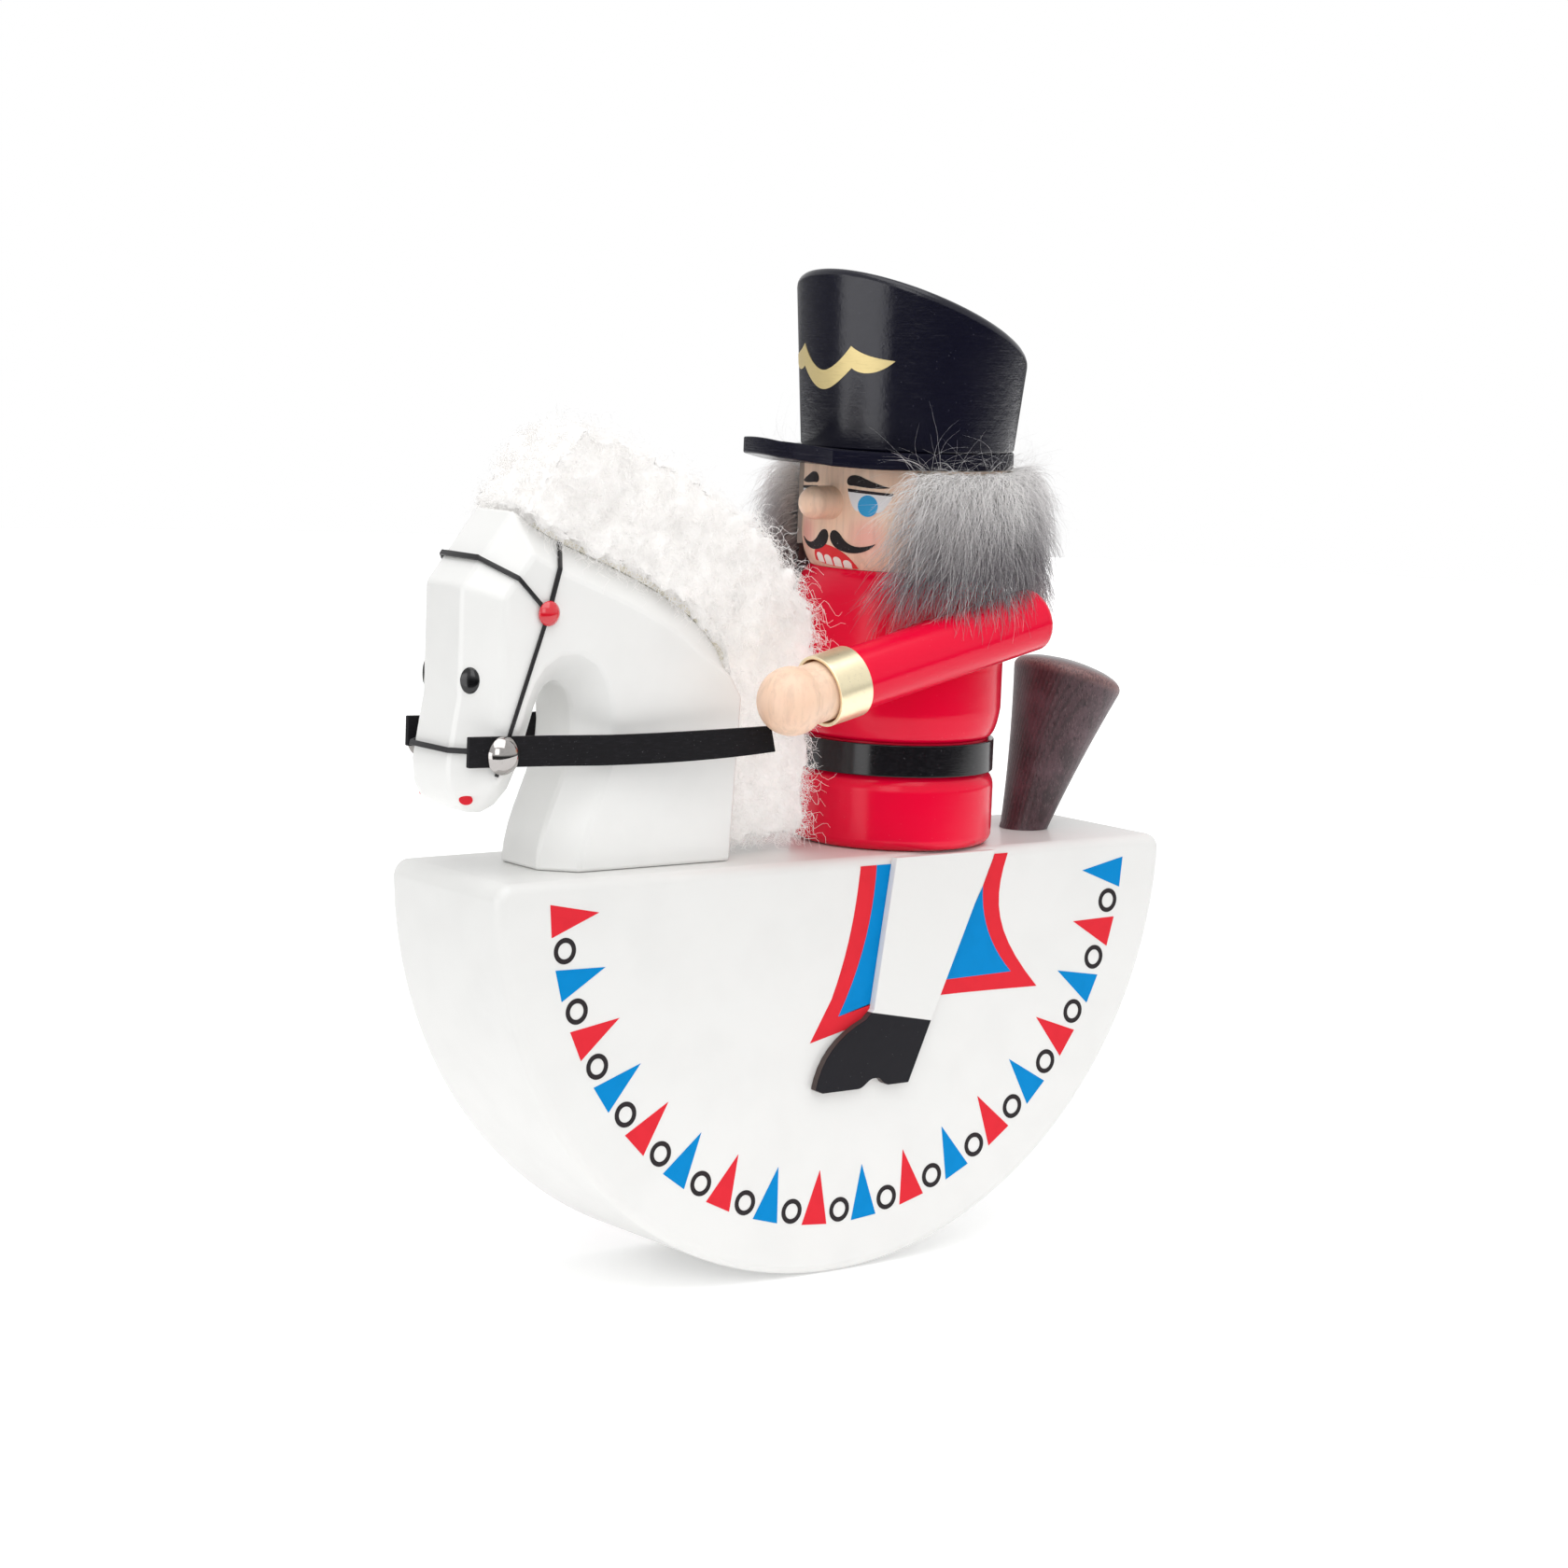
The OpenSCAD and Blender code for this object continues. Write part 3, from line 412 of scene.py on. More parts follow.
def strap_leather(name, roughness, shine, fibre):
    """Black strap with long fibres and a few light specks."""
    tone = tones().strap_black
    paint = Paint(name, tone, roughness, **{"Specular IOR Level": shine})
    place = paint.place(stretch=(0.35, 1.2, 2.2))
    fibres = paint.noise(place, 1.9, 4.0, 0.7, 0.3)
    specks = paint.noise(paint.place(), 3.2, 2.0, 0.6).step(0.68, 0.76)
    paint.tint(fibres.step(0.45, 0.8) * 0.4, paint_tone(48, 46, 52))
    paint.tint(specks * 0.4, paint_tone(110, 108, 114))
    paint.feed("Roughness", roughness + 0.2 * fibres)
    paint.emboss(fibres, fibre)
    return paint


def pile(name, tone, light, low, high, shade, glow=0.0):
    """Hair or wool: tone at the height low turns to light at high, and each fibre differs.

    The glow stands in for light that wanders among the white fibres.
    """
    paint = Paint(name, tone, 0.75, **{
        "Sheen Weight": 0.15, "Sheen Roughness": 0.4, "Specular IOR Level": 0.25,
        "Emission Color": (1, 1, 1, 1), "Emission Strength": glow})
    height = paint.axes(paint.place())[2]
    fibre = paint.attribute("fibre")
    patch = paint.noise(paint.place(stretch=(1, 1, 0.4)), 0.16, 2.0)
    paint.tint(((height - low) / (high - low) + (patch - 0.5) * 0.9).step(0.0, 1.0), light)
    paint.tint(fibre.step(0.74, 0.96) * 0.8, mixed(light, (1, 1, 1, 1), 0.3))
    paint.tint(fibre.step(0.22, 0.0) * shade, darker(tone, 0.5))
    paint.emboss(paint.noise(paint.place(), 1.2, 3.0), 0.05)
    return paint


def hide(name, tone):
    """Flesh side of a skin: matte, fibrous and slightly blotched."""
    paint = Paint(name, tone, 0.8)
    fibres = paint.noise(paint.place(), 0.9, 4.0, 0.7)
    paint.tint(fibres.step(0.4, 0.75) * 0.6, darker(tone, 0.78))
    paint.emboss(fibres, 0.08)
    return paint


def cast_iron():
    """Rough casting with darker pits."""
    paint = Paint("cast_iron", paint_tone(96, 96, 100), 0.6, Metallic=0.9)
    pits = paint.noise(paint.place(), 0.8, 4.0, 0.7)
    paint.tint(pits.step(0.5, 0.8) * 0.7, paint_tone(56, 52, 52))
    paint.feed("Roughness", 0.5 + 0.3 * pits)
    paint.emboss(pits, 0.12)
    return paint


# Shapes

def traced(parts, steps=8):
    """Points of an outline: a pair is a corner, and four pairs are a curve.

    A fifth value is the curve's own number of steps.
    """
    points = []
    for part in parts:
        if len(part) > 3:
            own = part[4] if len(part) == 5 else steps
            points += [tuple(p) for p in interpolate_bezier(*map(Vector, part[:4]), own + 1)]
        else:
            points.append(tuple(part))
    return without_doubles(points)


def without_doubles(points):
    """Drops each point that lies on the one before it."""
    return [p for p, q in zip(points, points[-1:] + points)
            if (Vector(p) - Vector(q)).length > 1e-3]


def arc(centre, radius, start, end, steps):
    """Points on an arc, in degrees."""
    turns = [math.radians(start + (end - start) * i / steps) for i in range(steps + 1)]
    return [(centre[0] + radius * math.cos(a), centre[1] + radius * math.sin(a)) for a in turns]


def on_deck(points, x=0.0):
    """Moves an outline from a piece's own x and its height over the deck."""
    return [(x + px, DECK_Z + pz) for px, pz in points]


def add_plate(form, points, near, far, across="Y"):
    """Closed plate from an outline, between two planes across the named axis."""
    spot = {"Y": lambda p: (p[0], near, p[1]), "Z": lambda p: (p[0], p[1], near)}[across]
    face = form.faces.new([form.verts.new(spot(p)) for p in points])
    grown = bmesh.ops.extrude_face_region(form, geom=[face])["geom"]
    lift = (0, far - near, 0) if across == "Y" else (0, 0, far - near)
    bmesh.ops.translate(form, verts=[g for g in grown if isinstance(g, bmesh.types.BMVert)],
                        vec=lift)
    return form


def band_profile(inner, outer, high):
    """Closed section of a ring between two radii, for turned."""
    return [(inner, 0), (outer, 0), (outer, high), (inner, high), (inner, 0)]


def turned(profile, steps, sweep=360, placed=None, form=None):
    """Lathe form about Z from a profile of radius and height, moved by the matrix placed."""
    form = form or bmesh.new()
    verts = [form.verts.new((r, 0, z)) for r, z in profile]
    edges = [form.edges.new(pair) for pair in zip(verts, verts[1:])]
    before = set(form.verts) - set(verts)
    bmesh.ops.spin(form, geom=verts + edges, cent=(0, 0, 0), axis=(0, 0, 1), dvec=(0, 0, 0),
                   angle=math.radians(sweep), steps=steps, use_merge=sweep == 360,
                   use_duplicate=False)
    made = [v for v in form.verts if v not in before]
    bmesh.ops.remove_doubles(form, verts=made, dist=1e-4)
    made = [v for v in form.verts if v not in before]
    if placed is not None:
        bmesh.ops.transform(form, matrix=placed, verts=made)
    return form


def bevelled(form, chosen, width, segments):
    """Bevels the edges for which chosen(edge) is true, after its faces are turned outwards."""
    bmesh.ops.recalc_face_normals(form, faces=form.faces)
    edges = [e for e in form.edges if chosen(e)]
    bmesh.ops.bevel(form, geom=edges, offset=width, offset_type="OFFSET", segments=segments,
                    profile=0.5, affect="EDGES", material=-1, clamp_overlap=True)


def sharp(degrees):
    """True for an edge whose faces meet at more than this angle."""
    def test(edge):
        return len(edge.link_faces) == 2 and edge.calc_face_angle(0) > math.radians(degrees)
    return test


def sliced(form, axis, values):
    """Cuts a form with planes across an axis, so that it can bend."""
    normal = Vector((axis == "X", axis == "Y", axis == "Z"))
    for value in values:
        bmesh.ops.bisect_plane(form, geom=form.verts[:] + form.edges[:] + form.faces[:],
                               dist=1e-5, plane_co=normal * value, plane_no=normal)


def trimmed(form, at, normal):
    """Cuts off what lies on the normal's side of a plane, and closes the cut."""
    cut = bmesh.ops.bisect_plane(form, geom=form.verts[:] + form.edges[:] + form.faces[:],
                                 dist=1e-5, plane_co=at, plane_no=normal, clear_outer=True)
    rim = [g for g in cut["geom_cut"] if isinstance(g, bmesh.types.BMEdge)]
    bmesh.ops.contextual_create(form, geom=rim)


def capped(form):
    """Fills the two ends of a form that was turned less than the whole way round."""
    bmesh.ops.holes_fill(form, edges=[e for e in form.edges if e.is_boundary], sides=12)


def cut_to_bend(form, heights=()):
    """Cuts a flat print, whose X is in degrees, so that it can go round a turned form."""
    sliced(form, "X", range(-42, 43, 2))
    sliced(form, "Y", heights)
    bmesh.ops.triangulate(form, faces=[f for f in form.faces if len(f.verts) > 4])


def moved(form, matrix):
    """Moves a whole form by a matrix."""
    bmesh.ops.transform(form, matrix=matrix, verts=form.verts)


def reshaped(form, rule):
    """Moves each point to rule(point)."""
    for vert in form.verts:
        vert.co = rule(vert.co)


def as_piece(name, mesh, paint, replaces=()):
    """Puts a mesh into the scene as a piece of the toy, with its material and its nodes."""
    mesh.materials.append(paint.material)
    piece = bpy.data.objects.new(name, mesh)
    bpy.context.scene.collection.objects.link(piece)
    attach(piece, BODY)
    if replaces:
        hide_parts(*replaces)
    return piece


def finished(form, name, paint, replaces=(), crease=32, even=True):
    """Turns a form into a piece of the toy: metres, outward faces, smooth with sharp edges."""
    bmesh.ops.recalc_face_normals(form, faces=form.faces)
    bmesh.ops.scale(form, verts=form.verts, vec=(MM, MM, MM))
    for face in form.faces:
        face.smooth = True
    for edge in form.edges:
        edge.smooth = not sharp(crease)(edge)
    mesh = bpy.data.meshes.new(name)
    form.to_mesh(mesh)
    form.free()
    piece = as_piece(name, mesh, paint, replaces)
    if even:
        flatten = piece.modifiers.new("even_faces", "WEIGHTED_NORMAL")
        flatten.keep_sharp = True
    return piece


def baked(piece):
    """Applies the piece's modifiers."""
    bpy.context.view_layer.update()
    shown = piece.evaluated_get(bpy.context.evaluated_depsgraph_get())
    mesh = bpy.data.meshes.new_from_object(shown)
    piece.modifiers.clear()
    piece.data = mesh


def dressed(paint, *nodes):
    """Gives a material to nodes that stay as the model has them."""
    for name in nodes:
        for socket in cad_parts[name].material_slots:
            socket.material = paint.material


def rider_at(height):
    return Matrix.Translation((RIDER_X, 0, height))


def turn_about(axis, degrees):
    return Matrix.Rotation(math.radians(degrees), 4, axis)


def facing(height, out):
    """Frame on the face, with its Z axis pointing forward."""
    return (rider_at(height) @ turn_about("Z", FACE_DIR) @ Matrix.Translation((out, 0, 0))
            @ turn_about("Y", 90))


def on_arm(side, along):
    """Frame on an arm, with its Z axis pointing forward along it."""
    return (Matrix.Translation((RIDER_X, side * ARM_Y, ARM_Z))
            @ turn_about("Y", -90 - ARM_SLOPE) @ Matrix.Translation((0, 0, along)))


# Rocker

BORDER_MIDDLE = (0.1, 59.25)
RING_RADIUS = 50.0
TRIANGLE_TIP, TRIANGLE_BASE = 44.0, 51.9
FILM = 0.05              # how far a print stands out of the face
FILM_ROOT = 0.03         # and how deep it starts


def rim_point(degrees, radius):
    """Point on the half disc's face; degrees run from straight down to the tail's end."""
    a = math.radians(degrees)
    return (BORDER_MIDDLE[0] + radius * math.sin(a), BORDER_MIDDLE[1] - radius * math.cos(a))


def rocker_half():
    return mm(sizes().rocker_thickness) / 2


def film_on_faces(form, points):
    """The same flat print on both faces of the rocker."""
    half = rocker_half()
    for side in SIDES:
        add_plate(form, points, side * (half - FILM_ROOT), side * (half + FILM))


class TOY_OT_rocker(bpy.types.Operator):
    """Half disc with rounded edges, and the printed border on its faces"""
    bl_idname = "toy.rocker"
    bl_label = "Rocker"

    def execute(self, context):
        radius, half = mm(sizes().rocker_radius), rocker_half()
        corner = 2.4
        dip = math.degrees(math.asin(corner / (radius - corner)))
        corner_x = (radius - corner) * math.cos(math.radians(dip))
        disc = add_plate(bmesh.new(), (
            arc((-corner_x, DECK_Z - corner), corner, 90, 180 + dip, 10)
            + arc((0, DECK_Z), radius, 180 + dip, 360 - dip, 180)[1:-1]
            + arc((corner_x, DECK_Z - corner), corner, -dip, 90, 10)), -half, half)

        def face_edge(edge):
            return sharp(60)(edge) and all(abs(abs(v.co.y) - half) < 1e-3 for v in edge.verts)
        bevelled(disc, face_edge, mm(sizes().rocker_round), 4)
        finished(disc, "rocker_half_disc", white_paint("white_lacquer", tones().white_paint),
                 ["rocker_base"])

        rings = bmesh.new()
        triangles = [bmesh.new(), bmesh.new()]
        for side in SIDES:
            for degrees in range(-80, 81, 10):
                x, z = rim_point(degrees, RING_RADIUS)
                self.ring(rings, x, z, side * (half - FILM_ROOT), side * (half + FILM))
        for count, degrees in enumerate(range(-85, 86, 10)):
            film_on_faces(triangles[count % 2], [
                rim_point(degrees, TRIANGLE_TIP), rim_point(degrees - 2.5, TRIANGLE_BASE),
                rim_point(degrees + 2.5, TRIANGLE_BASE)])
        finished(rings, "border_rings", flat_print("ring_print", tones().print_black), even=False)
        finished(triangles[0], "border_triangles_red",
                 flat_print("red_print", tones().print_red), even=False)
        finished(triangles[1], "border_triangles_blue",
                 flat_print("blue_print", tones().print_blue), even=False)
        return {"FINISHED"}

    @staticmethod
    def ring(form, x, z, near, far, radius=1.8, line=0.68):
        turned(band_profile(radius - line, radius, far - near), 36,
               placed=Matrix.Translation((x, near, z)) @ turn_about("X", -90), form=form)


# Horse

HORSE_CREST = [
    ((1.7, 23), (2.6, 32.5), (-11, 38.3), (-23.9, 43.2)),
    ((-23.9, 43.2), (-27.6, 44.6), (-30.2, 45.6), (-34.7, 48.8), 3),
]
HORSE_FRONT = [
    (-42.5, 38.9), (-42.5, 24),
    ((-44, 15), (-44.3, 6.5), (-35.5, 5.9), (-32.8, 14.5), 7),
    ((-30.3, 22.4), (-28.8, 27.2), (-24.3, 27.6), (-24.1, 19.5)),
    ((-24.1, 19.5), (-23.9, 12.5), (-28.9, 8), (-29.2, 0.05)),
]


class TOY_OT_horse(bpy.types.Operator):
    """Horse's head and neck, sawn from a board and bevelled, with its eyes and nostrils"""
    bl_idname = "toy.horse"
    bl_label = "Horse"

    def execute(self, context):
        bevel = mm(sizes().horse_bevel)
        outline = traced([(0, -12), *HORSE_CREST, *HORSE_FRONT, (-29.2, -12)], 8)
        points = on_deck(outline, HORSE_X)
        board = bmesh.new()
        front = board.faces.new([board.verts.new((x, 0, z)) for x, z in points])
        front.normal_update()
        if front.normal.y > 0:
            front.normal_flip()
        flat = HORSE_HALF - bevel
        bmesh.ops.translate(board, verts=board.verts, vec=(0, -flat, 0))
        bmesh.ops.inset_region(board, faces=[front], thickness=bevel, depth=bevel,
                               use_boundary=True, use_even_offset=True)
        top = [v for v in board.verts if v.co.y < -flat - 1]
        for vert in top:         # low on the crest the board was left square
            if vert.co.x > HORSE_X - 8:
                at = Vector((vert.co.x, vert.co.z))
                corner = min(points, key=lambda p: (Vector(p) - at).length)
                share = max(0.0, min(1.0, (DECK_Z + 31 - corner[1]) / 8))
                vert.co.x += (corner[0] - vert.co.x) * share
                vert.co.z += (corner[1] - vert.co.z) * share
        bmesh.ops.remove_doubles(board, verts=top, dist=0.7)
        copied = bmesh.ops.duplicate(board, geom=board.faces[:])["geom"]
        far_verts = [g for g in copied if isinstance(g, bmesh.types.BMVert)]
        bmesh.ops.scale(board, verts=far_verts, vec=(1, -1, 1))
        rims = [e for e in board.edges if e.is_boundary]
        bmesh.ops.bridge_loops(board, edges=rims)
        bmesh.ops.recalc_face_normals(board, faces=board.faces)
        trimmed(board, (0, 0, DECK_Z + 0.05), (0, 0, -1))
        # The horse takes the lighter copy of the rocker's white: painted light for the shade on its
        # board.
        piece = finished(board, "painted_horse", white_paint("horse_lacquer_with_painted_light", tones().horse_white_painted_lighter),
                         ["horse_board"], crease=25)
        soften = piece.modifiers.new("worn_edges", "BEVEL")
        soften.width, soften.segments, soften.limit_method = 0.45 * MM, 2, "ANGLE"
        soften.angle_limit = math.radians(24)
        piece.modifiers.move(1, 0)
        self.features()
        return {"FINISHED"}

    @staticmethod
    def features():
        eyes, nostrils = bmesh.new(), bmesh.new()
        for side in SIDES:
            lean = turn_about("Z", 180 - side * 45)
            for form, around, high, at, radii in (
                    (eyes, 40, 24, (-60.16, side * 5.35, 86.4), (0.42, 1.32, 1.78, 1)),
                    (nostrils, 24, 16, (-60.35, side * 5.5, 70.5), (0.14, 0.95, 0.7, 1))):
                drop = bmesh.ops.create_uvsphere(form, u_segments=around, v_segments=high,
                                                 radius=1)["verts"]
                bmesh.ops.transform(form, verts=drop, matrix=Matrix.Translation(at) @ lean
                                    @ Matrix.Diagonal(radii))
        gloss = gloss_paint("eye_gloss", paint_tone(10, 10, 13), 0.05, 0.0, 0.003, shine=0.6)
        finished(eyes, "horse_eyes", gloss, even=False)
        finished(nostrils, "horse_nostrils", flat_print("nostril_red", tones().print_red),
                 even=False)


# Bridle and reins

REIN_FRONTS = {-1: (-62.8, 77.4), 1: (-60.4, 78.0)}
REIN_REARS = {-1: 77.8, 1: 77.6}


def dome(radius, height, rim=0.12):
    """Profile of a domed nail head, from its middle to its rim and back underneath."""
    big = (radius * radius + height * height) / (2 * height)
    reach = math.degrees(math.asin(radius / big))
    cap = [(max(x, 0.0), z) for x, z in arc((0, height - big), big, 90, 90 - reach, 14)]
    return cap + [(radius, -rim * 0.4), (radius - rim, -rim), (0, -rim)]


def strap_band(form, start, end, out, width):
    """Straight length of narrow strap that lies on a face of the horse; out leaves the face."""
    thick, lap, air = 0.35, 0.3, 0.05
    start, end = Vector(start), Vector(end)
    along = (end - start).normalized()
    out = (out - along * out.dot(along)).normalized()
    turn = Matrix((along, out.cross(along), out)).transposed().to_4x4()
    middle = (start + end) / 2 + out * (air + thick / 2)
    size = Matrix.Diagonal(((end - start).length + lap, width, thick, 1))
    bmesh.ops.create_cube(form, size=1, matrix=Matrix.Translation(middle) @ turn @ size)


class TOY_OT_bridle(bpy.types.Operator):
    """Reins, the nails that hold them, the red pin heads and the narrow straps"""
    bl_idname = "toy.bridle"
    bl_label = "Bridle and reins"

    def execute(self, context):
        for side, word in NAMED_SIDES:
            self.rein(side, word)
        nail_metal = metal("bright_nickel", paint_tone(178, 174, 172), 0.05, 0.006, 0.06)
        pin_paint = gloss_paint("pin_enamel", paint_tone(214, 18, 40), 0.1, 0.8, 0.003)
        nail_radius = mm(sizes().nail_radius)
        for side, word in NAMED_SIDES:
            for name, (x, z), radius, height, y, paint, slot in (
                    ("rein_nail", NAIL_AT, nail_radius, 1.6, 9.8, nail_metal, "nickel"),
                    ("rosette", ROSETTE_AT, 1.7, 0.9, REIN_Y, pin_paint, "red_pin")):
                placed = Matrix.Translation((x, side * y, z)) @ turn_about("X", -side * 90)
                finished(turned(dome(radius, height), 48, placed=placed),
                         name + "_head_" + word, paint, [name + "_" + word], 50, even=False)
        self.narrow_straps()
        return {"FINISHED"}

    @staticmethod
    def narrow_straps():
        brow_front, nose_front = Vector((-0.82, 0, 0.57)), Vector((-0.965, 0, 0.263))
        crest_out = Vector((0.62, 0, 0.78))
        brow, nose = bmesh.new(), bmesh.new()
        strap_band(brow, (-58.65, -4.3, 102.5), (-58.65, 4.3, 102.5), brow_front, 0.75)
        strap_band(nose, (-62.6, -4.35, 77.1), (-62.6, 4.35, 77.1), nose_front, 0.75)
        sides = []
        for side, word in NAMED_SIDES:
            flat, face = side * HORSE_HALF, Vector((0, side, 0))
            strap_band(brow, (-50.7, flat, 95.9), (-55.05, flat, 100.1), face, 0.55)
            strap_band(brow, (-55.05, flat, 100.1), (-58.65, side * 4.3, 102.5),
                       brow_front + face, 0.65)
            strap_band(nose, (-58.4, side * 8.4, 77.1), (-62.6, side * 4.35, 77.1),
                       nose_front + face, 0.75)
            stall, cheek = bmesh.new(), bmesh.new()
            strap_band(stall, (-50.0, flat, 96.1), (-48.6, flat, 101.25), face, 0.65)
            strap_band(stall, (-48.6, flat, 101.25), (-46.13, side * 4.6, 104.33),
                       crest_out + face, 0.65)
            strap_band(cheek, (-50.4, flat, 94.8), (-57.7, flat, 74.0), face, 0.5)
            sides += [(stall, "headstall_" + word), (cheek, "cheek_strap_" + word)]
        strap = strap_leather("narrow_strap", 0.3, 0.5, 0.02)
        for form, node in [(brow, "browband"), (nose, "noseband")] + sides:
            bevelled(form, sharp(60), 0.06, 2)
            finished(form, node + "_strip", strap, [node], even=False)

    @staticmethod
    def rein(side, word):
        """Flat rein from the nail to the inside of the hand, where it turns a little."""
        front_x, front_z = REIN_FRONTS[side]
        hand_x = RIDER_X - HAND_ALONG * math.cos(math.radians(ARM_SLOPE))
        bite, thick, sag, free_x = 3.4, 0.8, 0.5, -42
        rear = (hand_x, ARM_Y - bite - thick)
        inner = [Vector(p) for p in traced([
            (front_x, REIN_Y), (-53.0, REIN_Y),
            ((-53.0, REIN_Y), (-44.5, REIN_Y), (-40.0, 10.6), rear)], 16)]
        outer = []
        for i, p in enumerate(inner):
            along = (inner[min(i + 1, len(inner) - 1)] - inner[max(i - 1, 0)]).normalized()
            outer.append(p + thick * Vector((-along.y, along.x)))
        outline = [(p.x, side * p.y) for p in inner + outer[::-1]]
        half_width = mm(sizes().rein_width) / 2
        form = add_plate(bmesh.new(), outline, -half_width, half_width, "Z")
        bevelled(form, sharp(50), 0.14, 2)
        lift = REIN_REARS[side] - (front_z - sag)

        def hung(p):
            share = max(0.0, (p.x - free_x) / (rear[0] - free_x))
            twist = math.radians(34) * share ** 1.5
            sink = sag * min(1.0, (p.x - front_x) / 20)
            return Vector((p.x, p.y - side * p.z * math.sin(twist) * 0.5,
                           p.z * math.cos(twist) + front_z - sink + lift * share ** 2))
        sliced(form, "X", [-41 + 1.5 * i for i in range(16)])
        reshaped(form, hung)
        finished(form, "rein_strap_" + word, strap_leather("rein_leather_" + word, 0.55, 0.2, 0.06),
                 ["rein_" + word])


# Fibres

def fibre_mesh(strands, width, name):
    """One mesh of many thin tapered fibres. A strand is its points, each with a share of width."""
    curve = bpy.data.curves.new(name, "CURVE")
    curve.dimensions = "3D"
    curve.bevel_depth = width / 2 * MM
    curve.bevel_resolution = 0
    curve.use_fill_caps = True
    for strand in strands:
        spline = curve.splines.new("POLY")
        spline.points.add(len(strand) - 1)
        for spot, (co, share) in zip(spline.points, strand):
            spot.co = (co.x * MM, co.y * MM, co.z * MM, 1)
            spot.radius = share
    holder = bpy.data.objects.new(name + "_curve", curve)
    bpy.context.scene.collection.objects.link(holder)
    bpy.context.view_layer.update()
    mesh = bpy.data.meshes.new_from_object(
        holder.evaluated_get(bpy.context.evaluated_depsgraph_get()))
    bpy.data.objects.remove(holder)
    bpy.data.curves.remove(curve)
    mesh.name = name
    return mesh


def pile_piece(strands, width, name, paint, seed):
    """Finishes fibres as a piece, with a value of its own for each fibre."""
    mesh = fibre_mesh(strands, width, name)
    chance = random.Random(seed)
    per_strand = len(mesh.vertices) // len(strands)
    values = []
    for _ in strands:
        values += [chance.random()] * per_strand
    values += [0.5] * (len(mesh.vertices) - len(values))
    mesh.attributes.new("fibre", "FLOAT", "POINT").data.foreach_set("value", values)
    mesh.shade_smooth()
    mesh.materials.clear()
    as_piece(name, mesh, paint)


def pile_pieces(strands, parts, width, name, paint, seed):
    """Shares fibres out among numbered pieces, so that none of them grows too large."""
    share = len(strands) // parts + 1
    for part in range(parts):
        pile_piece(strands[part * share:(part + 1) * share], width,
                   "%s_%d" % (name, part + 1), paint, seed + part)


def surface_spots(mesh, count, chance, keep):
    """Random places on a mesh for which keep(place) is true, in millimetres, each with its
    outward direction.
    """
    mesh.calc_loop_triangles()
    areas, total = [], 0.0
    for triangle in mesh.loop_triangles:
        total += triangle.area
        areas.append(total)
    spots, tries = [], 0
    while len(spots) < count and tries < count * 30:
        tries += 1
        pick = min(bisect.bisect(areas, chance.random() * total), len(areas) - 1)
        triangle = mesh.loop_triangles[pick]
        a, b, c = (mesh.vertices[i].co for i in triangle.vertices)
        u, v = chance.random(), chance.random()
        if u + v > 1:
            u, v = 1 - u, 1 - v
        spot = (a + (b - a) * u + (c - a) * v) / MM
        if keep(spot):
            spots.append((spot, triangle.normal.copy()))
    return spots


def fleece(spots, chance, length, curl, steps=8, droop=0.35):
    """Curly fibres that leave each spot, coil and hang a little."""
    strands = []
    for spot, normal in spots:
        tangent = normal.orthogonal().normalized()
        tangent.rotate(Matrix.Rotation(chance.uniform(0, 6.28), 3, normal))
        lean = (normal + 0.7 * chance.uniform(-1, 1) * tangent
                + Vector((0, 0, -droop * chance.random()))).normalized()
        side = lean.cross(tangent).normalized()
        other = lean.cross(side)
        reach = length * chance.uniform(0.55, 1.25)
        turns = chance.uniform(1.2, 2.6)
        phase = chance.uniform(0, 6.28)
        size = curl * chance.uniform(0.6, 1.4)
        strand = []
        for i in range(steps + 1):
            t = i / steps
            angle = phase + turns * 6.28 * t
            grow = min(1.0, 3 * t)
            co = (spot + lean * (reach * t - 0.3)
                  + (side * math.cos(angle) + other * math.sin(angle)) * size * grow
                  + Vector((0, 0, -droop * reach * t * t)))
            strand.append((co, 1.0 - 0.55 * t))
        strands.append(strand)
    return strands


# Mane

MANE_OUTLINE = [
    ((-34.4, 49.4), (-32.5, 53), (-28, 58.5), (-25.2, 60.4)),
    ((-25.2, 60.4), (-15, 58), (3, 51.5), (13, 38.5)),
    ((13, 38.5), (18, 31), (18.8, 22), (18.6, 2)),
]


